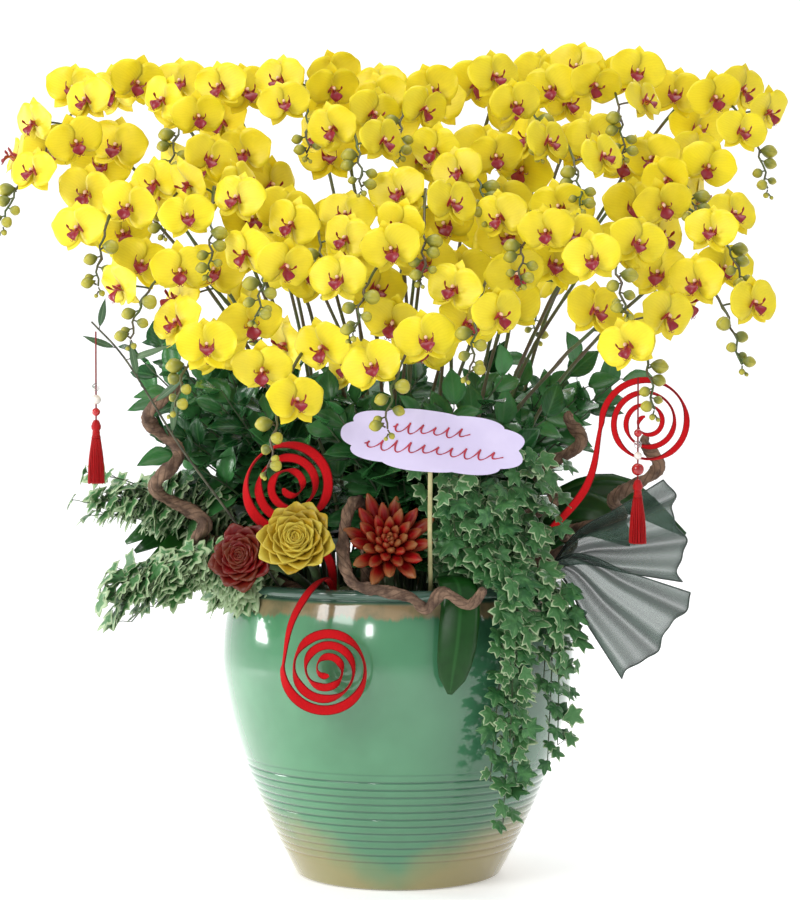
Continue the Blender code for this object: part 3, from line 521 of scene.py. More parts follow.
CELADON = make_glaze()
neck = POT_HEIGHT - RIM_DEPTH
outer_heights = [*np.linspace(0.003, RINGS_TO + 0.002, 150), *np.linspace(RINGS_TO + 0.006, neck, 40)]
wall = [(0, 0.001), (POT_FOOT_RADIUS - 0.022, 0.001)]
wall += [(POT_FOOT_RADIUS - 0.020, 0.0), (POT_FOOT_RADIUS - 0.004, 0.0)]
wall += [(pot_radius(h) + ring_relief(h), h) for h in outer_heights]
lip_radius = pot_radius(neck) + RIM_OVERHANG
for turn in np.linspace(-0.45 * math.pi, 0.95 * math.pi, 12):
    wall.append((lip_radius - 0.007 + 0.007 * math.cos(turn), neck + 0.0072 + 0.0067 * math.sin(turn)))
wall += [(pot_radius(h) - POT_WALL, h) for h in np.linspace(neck - 0.002, POT_FLOOR, 24)]
piece("glazed_pot", [turned([*wall, (0, POT_FLOOR)], 160)], [CELADON], ["pot"])


# ---------------------------------------------------------------- potting mix
# Coarse bark and coir fill the pot to just under the lip, dressed with dark moss between the plants.
SOIL_TOP = 0.361
CHIPS, CHIP_REACH = 260, 0.185
BARK_DARK = (0.020, 0.012, 0.008)
BARK_LIGHT = (0.085, 0.050, 0.028)
MOSS = (0.030, 0.055, 0.012)


def make_mix():
    mix, tree, shader = finish_of("bark_and_moss", 0.95)
    cloud = use(tree, CLOUDING, Scale=45.0, Light=BARK_LIGHT, Dark=BARK_DARK, Grain=260.0)
    patches = noise_of(tree, spot_on(tree), 14.0, 3.0)
    colour = blend_of(tree, step_of(tree, patches, 0.45, 0.6), cloud["Color"], MOSS)
    wire(tree, shader, colour, cloud["Height"], 0.8, 0.003)
    return mix


rng = np.random.default_rng(11)
mix_profile = [(0, POT_FLOOR + 0.0005)]
for height in np.linspace(POT_FLOOR + 0.0005, SOIL_TOP - 0.004, 12):
    mix_profile.append((pot_radius(height) - POT_WALL - 0.002, height))
mix_profile += [(r, SOIL_TOP - 0.001) for r in np.linspace(0.190, 0.006, 36)] + [(0, SOIL_TOP - 0.001)]
soil_bit = list(turned(mix_profile, 90))
on_top = soil_bit[0][:, 2] > SOIL_TOP - 0.002
soil_bit[0][on_top, 2] += rng.uniform(-0.004, 0.0008, on_top.sum())
chips = []
for k in range(CHIPS):
    radius, turn = CHIP_REACH * math.sqrt(rng.uniform()), rng.uniform(0, 2 * math.pi)
    spot = np.array([radius * math.cos(turn), radius * math.sin(turn), SOIL_TOP + 0.001])
    reach = rng.uniform(-1, 1, 3) * (0.010, 0.010, 0.003)
    thick = rng.uniform(0.0018, 0.0042)
    ends = [spot - reach, spot, spot + reach]
    chips.append(tube(ends, [thick * 0.5, thick, thick * 0.6], 6, 0, rng.uniform()))
piece("bark_mix", [tuple(soil_bit), *chips], [make_mix()], ["potting_mix"])


# ---------------------------------------------------------------- orchid plants
# Sixteen moth orchids carry one or two arching sprays each. A flower has two broad petals, three sepals, a
# crimson three-lobed lip and a pale column; it hangs on a thin stalk, and buds close each spray's end.
FLOWER_WIDTH = 0.082
BUD_LENGTH = 0.018
STEM_RADIUS = 0.0030
PEDICEL_RADIUS = 0.0014
PEDICEL_REACH = 0.030
FLOWER_BEFORE_CREST = 0.055
BUD_STRETCH = 0.085
BUDS_PER_SPIKE = 2
FLOWER_FULLNESS = 1.07
BUD_FULLNESS = 1.18
CLEARANCE = 0.0012
# small late buds: how far before the spray's end, and size
LATE_BUDS = [(0.040, 0.98), (0.024, 0.84), (0.012, 0.66), (-0.005, 0.50), (-0.010, 0.34)]
SETTLING_ROUNDS, HOMING_ROUNDS, LONGEST_STEP = 240, 60, 0.004
STALK_SHARES = (0.4, 0.7)
SEED = 7
STANDING = SOIL_TOP + 0.0003
UP = np.array([0.0, 0.0, 1.0])
PETAL_YELLOW = (0.90, 0.74, 0.006)
PETAL_DEEP = (0.72, 0.52, 0.003)
PETAL_OLIVE = (0.62, 0.52, 0.004)
# a darker, greener yellow painted at the flower's heart, partly as shade
PETAL_HEART_SHADE = (0.50, 0.42, 0.012)
LIP_CRIMSON = (0.26, 0.003, 0.014)
LIP_ORANGE = (0.85, 0.33, 0.02)
COLUMN_PINK = (0.50, 0.05, 0.10)
COLUMN_WHITE = (0.80, 0.52, 0.34)
STEM_GREEN = (0.060, 0.105, 0.022)
STEM_BROWN = (0.080, 0.050, 0.025)
BUD_OLIVE = (0.40, 0.36, 0.030)
BUD_GREEN = (0.13, 0.15, 0.020)


def level(vector):
    return unit([vector[0], vector[1], 0])


def circle(radius, sides):
    turns = np.arange(sides) * 2 * math.pi / sides
    return [(radius * math.cos(t), radius * math.sin(t)) for t in turns]


PLANTS = [
    # back row, the highest
    [
        ((-0.335, 0.14, 1.038), (-0.460, -0.06, 0.903), 6),
        ((-0.238, 0.15, 1.038), (-0.290, -0.07, 0.908), 6),
    ],
    [
        ((-0.125, 0.15, 1.043), (-0.115, -0.08, 0.928), 6),
        ((0.020, 0.14, 1.028), (0.000, -0.08, 0.928), 6),
    ],
    [((0.140, 0.15, 1.048), (0.180, -0.08, 0.928), 6)],
    [
        ((0.272, 0.15, 1.057), (0.285, -0.08, 0.927), 6),
        ((0.400, 0.14, 1.030), (0.470, -0.06, 0.885), 6),
    ],
    # second row
    [
        ((-0.390, 0.03, 0.952), (-0.490, -0.15, 0.832), 6),
        ((-0.210, 0.05, 0.935), (-0.290, -0.16, 0.825), 6),
    ],
    [
        ((-0.070, 0.05, 0.978), (-0.045, -0.17, 0.878), 6),
        ((0.060, 0.05, 0.940), (0.110, -0.17, 0.840), 6),
    ],
    [
        ((0.205, 0.05, 0.960), (0.225, -0.17, 0.855), 6),
        ((0.335, 0.05, 0.934), (0.370, -0.16, 0.824), 6),
    ],
    # third row
    [
        ((-0.345, -0.04, 0.880), (-0.365, -0.22, 0.755), 5),
        ((-0.235, -0.04, 0.887), (-0.225, -0.25, 0.772), 6),
    ],
    [
        ((-0.110, -0.04, 0.850), (-0.090, -0.26, 0.750), 6),
        ((0.035, -0.04, 0.883), (0.030, -0.27, 0.763), 6),
    ],
    [
        ((0.180, -0.04, 0.865), (0.145, -0.26, 0.760), 6),
        ((0.325, -0.04, 0.870), (0.420, -0.20, 0.755), 6),
    ],
    # fourth row
    [
        ((-0.262, -0.12, 0.785), (-0.318, -0.28, 0.690), 5),
        ((-0.140, -0.12, 0.805), (-0.165, -0.32, 0.715), 5),
    ],
    [
        ((0.000, -0.12, 0.797), (-0.050, -0.33, 0.697), 5),
        ((0.120, -0.12, 0.775), (0.085, -0.33, 0.650), 5),
    ],
    [
        ((0.240, -0.12, 0.818), (0.265, -0.31, 0.723), 5),
        ((0.350, -0.11, 0.780), (0.410, -0.25, 0.660), 5),
    ],
    # front row, the lowest
    [
        ((-0.205, -0.19, 0.715), (-0.260, -0.32, 0.610), 4),
        ((-0.095, -0.19, 0.689), (-0.150, -0.34, 0.539), 5),
    ],
    [
        ((0.055, -0.19, 0.715), (-0.015, -0.35, 0.585), 5),
        ((0.270, -0.18, 0.727), (0.300, -0.31, 0.607), 4),
    ],
    # behind, arching to the back
    [
        ((-0.160, 0.21, 0.850), (-0.200, 0.38, 0.675), 6),
        ((0.165, 0.22, 0.880), (0.200, 0.39, 0.703), 6),
    ],
]

FOOT_SHARE_X, FOOT_SHARE_Y = 0.34, 0.50
CROWN_RADIUS, CROWN_HEIGHT = 0.013, 0.016


def crown_of(plant):
    """Where a plant's crown sits on the potting mix."""
    middle = np.mean([crest for crest, _, _ in plant], axis=0)
    return np.array([middle[0] * FOOT_SHARE_X, middle[1] * FOOT_SHARE_Y, STANDING])


def spike_path(crown, number, crest, tip):
    """The stem's line: up from its side of the crown, over the crest and down to the tip."""
    crest, tip = np.array(crest), np.array(tip)
    ahead = level(tip - crest)
    reach = np.linalg.norm((tip - crest)[:2])
    foot = crown + np.array([0.5 * CROWN_RADIUS * (2 * number - 1), 0, 0.15 * CROWN_HEIGHT])
    shoulder = crest - ahead * 0.07 - UP * 0.012
    rise = bezier(foot, foot + UP * 0.55 * (crest[2] - foot[2]), shoulder, crest, 24)
    arrive = tip + UP * 0.55 * (crest[2] - tip[2]) - ahead * 0.12 * reach
    fall = bezier(crest, crest + ahead * 0.45 * reach, arrive, tip, 24)
    fine, crest_at = np.vstack([rise, fall[1:]]), length_of(rise)
    ahead_of_crest = length_of(fine) - crest_at
    spots = [0, 0.45 * crest_at, 0.75 * crest_at, crest_at - 0.08, crest_at - 0.03, crest_at + 0.02]
    spots += list(crest_at + np.array([0.3, 0.5, 0.7, 0.85, 1.0]) * ahead_of_crest)
    return at_distances(fine, spots), crest_at


def all_spikes():
    """Every spike as (plant, path, length up to the crest, flowers)."""
    spikes = []
    for plant_number, plant in enumerate(PLANTS):
        crown = crown_of(plant)
        for number, (crest, tip, flowers) in enumerate(plant):
            path, crest_at = spike_path(crown, number, crest, tip)
            spikes.append((plant_number, path, crest_at, flowers))
    return spikes


def facing(spike_ahead, hand, droop, jitter):
    """The frame of a flower: its right, the way it looks, and its top."""
    outlook = level(spike_ahead + 0.8 * np.sign(spike_ahead[1] or -1) * np.array([0, 1.0, 0]))
    across = np.cross(outlook, UP)
    look = unit(outlook + across * (0.22 * hand + 0.25 * jitter[0]) + UP * (0.12 * jitter[1] - droop))
    right = unit(np.cross(look, UP) + 0.12 * jitter[2] * UP)
    return np.stack([right, look, np.cross(right, look)])


def grow_heads(spikes):
    """Every flower and bud of every spike, before they settle."""
    rng = np.random.default_rng(SEED)
    heads = []
    for number, (_, path, crest_at, flowers) in enumerate(spikes):
        whole = length_of(path)
        ahead = level(path[-1] - at_distances(path, [crest_at])[0])
        across = np.cross(ahead, UP)
        spots = np.linspace(crest_at - FLOWER_BEFORE_CREST, whole - BUD_STRETCH, flowers)
        bud_spots = whole - BUD_STRETCH * np.linspace(0.62, 0.02, BUDS_PER_SPIKE)
        for k, at in enumerate([*spots, *bud_spots]):
            anchor = at_distances(path, [at])[0]
            hand = 1 if (k + number) % 2 else -1
            is_bud = k >= flowers
            shrink = 1 - 0.035 * k if not is_bud else 1.0 - 0.22 * (k - flowers)
            frame = facing(ahead, hand, 0.10, rng.uniform(-1, 1, 3))
            if is_bud:
                home = anchor + across * hand * 0.011 * shrink + ahead * 0.004 + UP * 0.002
                look = unit(home - anchor - UP * 0.004)
                right = unit(np.cross(look, UP))
                frame = np.stack([right, look, np.cross(right, look)])
            else:
                home = anchor + across * hand * PEDICEL_REACH * 0.9 + ahead * 0.022 + UP * 0.002
            heads.append(
                {
                    "spike": number,
                    "bud": is_bud,
                    "anchor": anchor,
                    "home": home,
                    "frame": frame,
                    "size": (BUD_LENGTH if is_bud else FLOWER_WIDTH) * shrink,
                }
            )
    return heads


def flower_spheres():
    """The spheres that stand for a flower while it settles: (right, ahead, up, radius) in half widths."""
    inner = [(0.48 * x, 0.0, 0.48 * z, 0.18) for x, z in circle(1, 7)]
    outer = [(0.84 * x, 0.05, 0.84 * z, 0.16) for x, z in circle(1, 13)]
    return np.array([(0, 0.05, 0, 0.22), (0, 0.32, -0.22, 0.17), *inner, *outer])


def settle(heads, stems):
    """Moves flowers and buds a little at a time until none touches another one or a stem."""
    spheres = flower_spheres()
    count = len(spheres) + 2
    centre = np.array([h["home"] for h in heads])
    home = centre.copy()
    anchor = np.array([h["anchor"] for h in heads])
    spike = np.array([h["spike"] for h in heads])
    radius = np.zeros((len(heads), count))
    offset = np.zeros((len(heads), count, 3))
    for i, h in enumerate(heads):
        half = h["size"] / 2
        if h["bud"]:
            radius[i, :-2] = 0.75 * half
            offset[i, :-2] = np.linspace(-0.5, 0.5, count - 2)[:, None] * half * h["frame"][1]
        else:
            radius[i, :-2] = spheres[:, 3] * half
            offset[i, :-2] = spheres[:, :3] * half @ h["frame"]
        radius[i, -2:] = PEDICEL_RADIUS * 1.3
    bound = np.linalg.norm(offset, axis=2).max(1) + radius.max(1)
    beads = [at_distances(p, np.arange(0, length_of(p), 0.007)) for p in stems]
    stem_points = np.vstack(beads)
    stem_spike = np.repeat(np.arange(len(stems)), [len(row) for row in beads])
    lever = np.ones(count)
    lever[-2:] = [1 / share for share in STALK_SHARES]
    for turn in range(SETTLING_ROUNDS):
        spots = centre[:, None] + offset
        for k, share in zip((-2, -1), STALK_SHARES):
            spots[:, k] = anchor + share * (centre - anchor)
        push = np.zeros_like(centre)
        apart = np.linalg.norm(centre[:, None] - centre[None], axis=2)
        i, j = np.nonzero(np.triu(apart < bound[:, None] + bound[None] + CLEARANCE, 1))
        lines = spots[i][:, :, None] - spots[j][:, None]
        far = np.linalg.norm(lines, axis=3)
        room = far - radius[i][:, :, None] - radius[j][:, None] - CLEARANCE
        flat = room.reshape(len(i), -1)
        worst = flat.argmin(1)
        depth = flat[np.arange(len(i)), worst]
        a, b = np.unravel_index(worst, (count, count))
        way = lines[np.arange(len(i)), a, b] / np.maximum(far[np.arange(len(i)), a, b], 1e-6)[:, None]
        move = way * np.maximum(-depth, 0)[:, None] * 0.55
        np.add.at(push, i, move * lever[a][:, None])
        np.add.at(push, j, -move * lever[b][:, None])
        touching = (depth < 0).sum()
        apart = np.linalg.norm(centre[:, None] - stem_points[None], axis=2)
        i, s = np.nonzero(apart < bound[:, None] + STEM_RADIUS + CLEARANCE)
        lines = spots[i] - stem_points[s][:, None]
        far = np.linalg.norm(lines, axis=2)
        room = far - radius[i] - STEM_RADIUS - CLEARANCE
        room[spike[i] == stem_spike[s], -2:] = 1.0
        room[spike[i] == stem_spike[s]] += CLEARANCE
        worst = room.argmin(1)
        rows = np.arange(len(i))
        depth = room[rows, worst]
        outward = centre[i] - stem_points[s]
        outward[worst >= count - 2] = lines[rows, worst][worst >= count - 2]
        outward /= np.linalg.norm(outward, axis=1, keepdims=True)
        np.add.at(push, i, outward * (np.maximum(-depth, 0) * 0.5 * lever[worst])[:, None])
        touching += (depth < 0).sum()
        if touching == 0:
            break
        size = np.linalg.norm(push, axis=1, keepdims=True)
        push *= np.minimum(1, LONGEST_STEP / np.maximum(size, 1e-9))
        centre += push
        if turn < HOMING_ROUNDS:
            centre += (home - centre) * 0.02
    for h, c in zip(heads, centre):
        h["centre"] = c
    return heads




def make_veins():
    """Veins that leave a leaf's midrib on both sides, from its own place across (x) and along (y)."""
    tree, given, out = effect(
        "leaf_veins",
        [("Place", "Vector"), ("Count", "Float"), ("Slant", "Float"), ("Width", "Float")],
        [("Veins", "Float"), ("Midrib", "Float"), ("Along", "Float")],
    )
    x, along, _ = parts_of(tree, given["Place"])
    across = maths(tree, "ABSOLUTE", x)
    slanted = maths(tree, "SUBTRACT", along, times(tree, across, given["Slant"]))
    wave = maths(tree, "FRACT", times(tree, slanted, given["Count"]))
    near = maths(tree, "ABSOLUTE", maths(tree, "SUBTRACT", wave, 0.5))
    tree.links.new(rest_of(tree, step_of(tree, near, 0.0, given["Width"])), out.inputs["Veins"])
    tree.links.new(rest_of(tree, step_of(tree, across, 0.02, 0.14)), out.inputs["Midrib"])
    tree.links.new(along, out.inputs["Along"])
    return tree


VEINS = make_veins()


def own_share(tree):
    """A number of its own, from 0 to 1, that each leaf or flower carries."""
    return parts_of(tree, place_on(tree))[2]


def make_petal():
    petal, tree, shader = finish_of("yellow_petal", 0.48, Sheen_Weight=0.12, Subsurface_Weight=0.12,
                                    Subsurface_Radius=(0.9, 0.6, 0.1), Subsurface_Scale=0.003)
    # fine fans of veins, a deeper yellow on some flowers, and a heart painted darker and greener towards the
    # flower's centre: partly a greener base, partly painted shade
    veins = use(tree, VEINS, Place=place_on(tree), Count=2.0, Slant=3.2, Width=0.42)
    body = blend_of(tree, times(tree, veins["Veins"], 0.22), PETAL_YELLOW, PETAL_DEEP)
    body = blend_of(tree, times(tree, own_share(tree), 0.45), body, PETAL_DEEP)
    cloud = use(tree, CLOUDING, Scale=26.0, Light=PETAL_YELLOW, Dark=PETAL_OLIVE, Grain=500.0)
    body = blend_of(tree, 0.35, body, cloud["Color"])
    # painted shade: each petal and sepal darkens towards the flower's centre
    heart = rest_of(tree, step_of(tree, veins["Along"], 0.02, 0.34))
    body = blend_of(tree, times(tree, heart, 0.55), body, PETAL_HEART_SHADE)
    wire(tree, shader, body, veins["Veins"], 0.10, 0.0006)
    return petal


def make_lip():
    lip, tree, shader = finish_of("crimson_lip", 0.38, Coat_Weight=0.15, Coat_Roughness=0.3)
    split = add(tree, "ShaderNodeSeparateXYZ", Vector=place_on(tree))
    stripes = maths(tree, "ABSOLUTE", maths(tree, "SINE", times(tree, split.outputs[0], 9.0)))
    base = rest_of(tree, step_of(tree, split.outputs[1], 0.05, 0.45))
    stripes = times(tree, step_of(tree, stripes, 0.35, 0.65), base)
    wire(tree, shader, blend_of(tree, stripes, LIP_CRIMSON, LIP_ORANGE))
    return lip


def make_column():
    column, tree, shader = finish_of("pale_column", 0.4)
    split = add(tree, "ShaderNodeSeparateXYZ", Vector=place_on(tree))
    wire(tree, shader, blend_of(tree, step_of(tree, split.outputs[1], 0.3, 0.8), COLUMN_PINK, COLUMN_WHITE))
    return column


def make_bud():
    bud, tree, shader = finish_of("olive_bud", 0.42)
    split = add(tree, "ShaderNodeSeparateXYZ", Vector=place_on(tree))
    seams = maths(tree, "ABSOLUTE", maths(tree, "SINE", times(tree, split.outputs[0], 3 * math.pi)))
    tipped = blend_of(tree, step_of(tree, split.outputs[1], 0.15, 0.85), BUD_GREEN, BUD_OLIVE)
    dark = times(tree, rest_of(tree, step_of(tree, seams, 0.0, 0.35)), 0.5)
    wire(tree, shader, blend_of(tree, dark, tipped, BUD_GREEN), seams, 0.2, 0.0006)
    return bud


def shell(grid, thick, number, seed=0.0):
    """A closed thin body over a grid of points (rows, columns, 3); it thins towards its edges."""
    rows, columns = grid.shape[:2]
    down, along = np.gradient(grid, axis=0), np.gradient(grid, axis=1)
    normals = np.cross(along, down)
    normals /= np.maximum(np.linalg.norm(normals, axis=2, keepdims=True), 1e-12)
    v, u = np.meshgrid(np.linspace(0, 1, rows), np.linspace(-1, 1, columns), indexing="ij")
    half = 0.5 * thick * ((1 - 0.65 * np.abs(u) ** 3) * (1 - 0.85 * v**8))[..., None]
    points = np.concatenate([grid + normals * half, grid - normals * half]).reshape(-1, 3)
    place = np.stack([u, v, np.full_like(u, seed)], axis=2).reshape(-1, 3)
    index = np.arange(rows * columns).reshape(rows, columns)
    a, b, c, d = index[:-1, :-1], index[:-1, 1:], index[1:, 1:], index[1:, :-1]
    front = np.stack([a, b, c, d], axis=-1).reshape(-1, 4)
    back = front[:, ::-1] + rows * columns
    rim = np.concatenate([index[0, :], index[1:, -1], index[-1, -2::-1], index[-2:0:-1, 0]])
    after = np.roll(rim, -1)
    edge = np.stack([after, rim, rim + rows * columns, after + rows * columns], axis=-1)
    return points, np.concatenate([front, back, edge]), number, np.concatenate([place, place])


def blade(length, widths, bend, cup, thick, number, wave=(0, 0, 0), seed=0.0, columns=7, rows=9):
    """A leaf or petal: x across, y out of its face, z along; widths are half widths from base to tip."""
    v = np.linspace(0, 1, rows)
    half = np.interp(v, np.linspace(0, 1, len(widths)), widths)
    u = np.linspace(-1, 1, columns)
    grid = np.zeros((rows, columns, 3))
    grid[..., 0] = half[:, None] * u
    grid[..., 2] = v[:, None] * length * (1 - 0.06 * u**2)
    size, turns, shift = wave
    ripple = size * np.sin(turns * v[:, None] * 2 * math.pi + shift + 2.0 * (u > 0)) * u**2
    grid[..., 1] = bend * v[:, None] ** 2 * length + cup * half[:, None] * u**2 + ripple
    return shell(grid, thick, number, seed)


def moved(bit, frame, spot, size=1.0, seed=None):
    """A bit turned into a frame [right, look, top], scaled and carried to a spot."""
    points, faces, number, place = bit
    if seed is not None:
        place = place.copy()
        place[:, 2] = seed
    return points * size @ np.asarray(frame) + spot, faces, number, place


def clock(degrees, lean):
    """A frame whose top points to an angle from the right, seen from the front; lean tips it forwards."""
    turn = math.radians(degrees)
    top = np.array([math.cos(turn), 0, math.sin(turn)])
    top = unit(top + np.array([0, lean, 0]))
    right = unit(np.cross(np.array([0, 1.0, 0]), top))
    return np.stack([right, np.cross(top, right), top])


def round_widths(width, swell, fullness):
    """Half widths of a rounded blade: swell moves the widest place and fullness squares it off."""
    v = np.linspace(0.0, 1.0, 12)
    return width * np.maximum(np.sin(math.pi * (0.03 + 0.955 * v) ** swell), 0.02) ** fullness


def flower_kind(rng):
    """One flower in half widths of its own: x right, y the way it looks, z up."""
    bits = []

    def vary():
        return rng.uniform(-1, 1)

    sepal = round_widths(0.30, 0.80, 0.55)
    for degrees, reach, back in ((90, 0.90, -0.05), (230, 0.86, -0.07), (310, 0.86, -0.07)):
        made = blade(reach, sepal * (1 + 0.08 * vary()), -0.05 + 0.10 * vary(), 0.18 + 0.12 * vary(),
                     0.014, 0, (0.012, 1.4, vary() * 3), 0.0)
        bits.append(moved(made, clock(degrees + 4 * vary(), 0.02 + 0.08 * vary()), np.array([0, back, 0])))
    petal = round_widths(0.64, 0.78, 0.44)
    for degrees in (14, 166):
        made = blade(0.98, petal * (1 + 0.05 * vary()), -0.12 + 0.16 * vary(), 0.05 + 0.14 * vary(),
                     0.014, 0, (0.045, 1.5, vary() * 3), 0.0, 9, 11)
        bits.append(moved(made, clock(degrees + 5 * vary(), 0.10 + 0.10 * vary()), np.array([0, 0.02, 0])))
    # the lip's middle lobe runs forwards and down to a point with two short horns
    line = bezier(np.array([0, 0.06, -0.05]), np.array([0, 0.24, -0.10]), np.array([0, 0.38, -0.16]),
                  np.array([0, 0.40, -0.40]), 8)
    u = np.linspace(-1, 1, 7)
    half = np.interp(np.linspace(0, 1, 8), [0, 0.3, 0.62, 0.8, 1.0], [0.08, 0.13, 0.24, 0.18, 0.04])
    grid = np.repeat(line[:, None], 7, axis=1)
    grid[..., 0] = half[:, None] * u
    grid[..., 1] += 0.5 * half[:, None] * u**2
    bits.append(shell(grid[:, ::-1], 0.035, 1))
    for hand in (-1, 1):
        horn = bezier(*np.array([[hand * 0.015, 0.40, -0.38], [hand * 0.03, 0.42, -0.46],
                                 [hand * 0.09, 0.46, -0.46], [hand * 0.11, 0.44, -0.38]]), 6)
        bits.append(tube(horn, np.linspace(0.014, 0.006, 6), 5, 1))
        # a side lobe stands up beside the column and curls in
        lobe = bezier(*np.array([[hand * 0.05, 0.08, -0.08], [hand * 0.16, 0.14, -0.14],
                                 [hand * 0.27, 0.28, -0.06], [hand * 0.20, 0.36, 0.12]]), 7)
        half = np.interp(np.linspace(0, 1, 7), [0, 0.3, 0.7, 1.0], [0.06, 0.14, 0.17, 0.06])
        out = np.array([0, 0.85, 0.5]) / np.linalg.norm([0.85, 0.5])
        grid = lobe[:, None] + half[:, None, None] * np.linspace(-1, 1, 5)[None, :, None] * out
        bits.append(shell(grid, 0.022, 1))
    callus = bezier(*np.array([[0, 0.12, -0.10], [0, 0.17, -0.05], [0, 0.22, -0.05], [0, 0.26, -0.11]]), 5)
    bits.append(tube(callus, [0.03, 0.055, 0.06, 0.05, 0.02], 6, 1))
    column = bezier(*np.array([[0, 0.0, 0.0], [0, 0.12, 0.05], [0, 0.22, 0.05], [0, 0.28, -0.01]]), 7)
    point, faces, number, place = tube(column, [0.050, 0.048, 0.050, 0.055, 0.060, 0.048, 0.018], 8, 2)
    place[:, 1] = np.repeat(np.linspace(0, 1, 7), 8)
    bits.append((point, faces, number, place))
    return bits


def bud_kind():
    """One bud along its own y, one long: three seams and a blunt point."""
    lengths = np.linspace(0, 1, 9)
    points, place = [], []
    radii = 0.42 * np.sin(math.pi * (0.04 + 0.93 * lengths) ** 1.1) ** 0.7
    for share, radius in zip(lengths, radii):
        for k in range(12):
            turn = k * math.pi / 6
            r = radius * (1 + 0.06 * math.cos(3 * turn))
            points.append((r * math.cos(turn), share - 0.5, -r * math.sin(turn)))
            place.append((k / 12, share, 0.5))
    faces = [(k * 12 + i, k * 12 + (i + 1) % 12, (k + 1) * 12 + (i + 1) % 12, (k + 1) * 12 + i)
             for k in range(8) for i in range(12)]
    faces += [tuple(range(12))[::-1], tuple(range(96, 108))]
    return np.array(points), faces, 4, np.array(place)


def nodded(frame, yaw, pitch, roll):
    """A frame turned a little about its own top, right and look."""
    for axis, angle in ((2, yaw), (0, pitch), (1, roll)):
        a, b = (axis + 1) % 3, (axis + 2) % 3
        turned_frame = frame.copy()
        turned_frame[a] = frame[a] * math.cos(angle) + frame[b] * math.sin(angle)
        turned_frame[b] = frame[b] * math.cos(angle) - frame[a] * math.sin(angle)
        frame = turned_frame
    return frame


rng = np.random.default_rng(23)
FLOWER_KINDS = [flower_kind(rng) for _ in range(7)]
BUD = bud_kind()
spikes = all_spikes()
heads = settle(grow_heads(spikes), [path for _, path, _, _ in spikes])
petal_finish, lip_finish, column_finish = make_petal(), make_lip(), make_column()
stem_finish = clouded("green_brown_stem", 0.42, 22.0, STEM_GREEN, STEM_BROWN, 400.0, (0.15, 0.0006))
bud_finish = make_bud()
ORCHID_FINISHES = [petal_finish, lip_finish, column_finish, stem_finish, bud_finish]
for plant_number, plant in enumerate(PLANTS):
    bits = []
    crown = crown_of(plant)
    stub = np.array([crown + UP * h * CROWN_HEIGHT for h in (0, 0.3, 0.6, 0.85, 1.0)])
    bits.append(tube(stub, np.array([1.0, 0.95, 0.85, 0.6, 0.2]) * CROWN_RADIUS, 10, 3, rng.uniform()))
    for spike_number, (owner, path, _, _) in enumerate(spikes):
        if owner != plant_number:
            continue
        fine = smooth_through(path, 90)
        along = travelled(fine)
        near_end = np.clip((along - along[-1] + 0.10) / 0.05, 0, 1)
        sideways = unit(np.cross(fine[-1] - fine[-20], [0, 0, 1.0]) + 1e-9)
        fine = fine + sideways * (0.0028 * near_end * np.sin(along / 0.0055))[:, None]
        knuckle = np.exp(-(((along % 0.075) - 0.037) / 0.004) ** 2)
        slim = np.interp(along / along[-1], [0, 0.7, 1.0], [1.0, 0.85, 0.45])
        bits.append(tube(fine, STEM_RADIUS * (0.9 * slim + 0.22 * knuckle), 8, 3, rng.uniform()))
        whole, ahead = along[-1], unit(fine[-1] - fine[-4])
        side = unit(np.cross(ahead, UP))
        # small late buds zigzag on to the spray's end
        for k, (back, size) in enumerate(LATE_BUDS):
            at = at_distances(fine, [whole - max(back, 0)])[0] + ahead * max(-back, 0)
            hand = 1 if (k + spike_number) % 2 else -1
            look = unit(side * hand * (1.0 if back > 0 else 0.5) + ahead * (0.35 if back > 0 else 1.0))
            right = unit(np.cross(look, UP))
            frame = np.stack([right, look, np.cross(right, look)])
            length = BUD_LENGTH * size
            heart = at + look * (STEM_RADIUS + length * 0.62)
            bits.append(moved(BUD, frame, heart, length, rng.uniform()))
            bits.append(tube([at, heart - look * length * 0.42], PEDICEL_RADIUS * 0.7, 5, 3))
    for head in heads:
        owner, path, _, _ = spikes[head["spike"]]
        if owner != plant_number:
            continue
        size, frame, centre, anchor = head["size"], head["frame"], head["centre"], head["anchor"]
        back = centre - frame[1] * (0.42 * size if head["bud"] else 0.02 * size)
        away = unit(centre - anchor)
        stalk = bezier(anchor, anchor + away * 0.012 + UP * 0.003, back - frame[1] * 0.010, back, 8)
        bits.append(tube(stalk, PEDICEL_RADIUS * np.linspace(0.85, 1.25, 8), 6, 3, rng.uniform()))
        if head["bud"]:
            bits.append(moved(BUD, frame, centre, size * BUD_FULLNESS, rng.uniform()))
        else:
            kind = FLOWER_KINDS[int(rng.integers(len(FLOWER_KINDS)))]
            seed = rng.uniform()
            frame = nodded(frame, *(rng.uniform(-1, 1, 3) * (0.62, 0.36, 0.34)))
            bits += [moved(bit, frame, centre, size / 2 * FLOWER_FULLNESS, seed) for bit in kind]
    name = f"orchid_{plant_number + 1:02d}"
    piece(name, bits, ORCHID_FINISHES, [f"orchid_plant_{plant_number + 1:02d}"])


# ---------------------------------------------------------------- orchid leaves
# Long leathery strap leaves grow from short stumps in the mix and arch outwards; one has flopped over the
# lip and hangs down the front of the pot. They are dark, glossy and folded a little along the midrib.
STRAP_GREEN = (0.005, 0.045, 0.006)
STRAP_LIGHT = (0.012, 0.078, 0.008)
STRAP_CLUMPS = {
    "orchid_leaves_left": ((-0.150, -0.005), (138, 218), 0.235),
    "orchid_leaves_right": ((0.150, 0.065), (-48, 50), 0.225),
    "orchid_leaves_back": ((0.000, 0.155), (50, 130), 0.240),
}


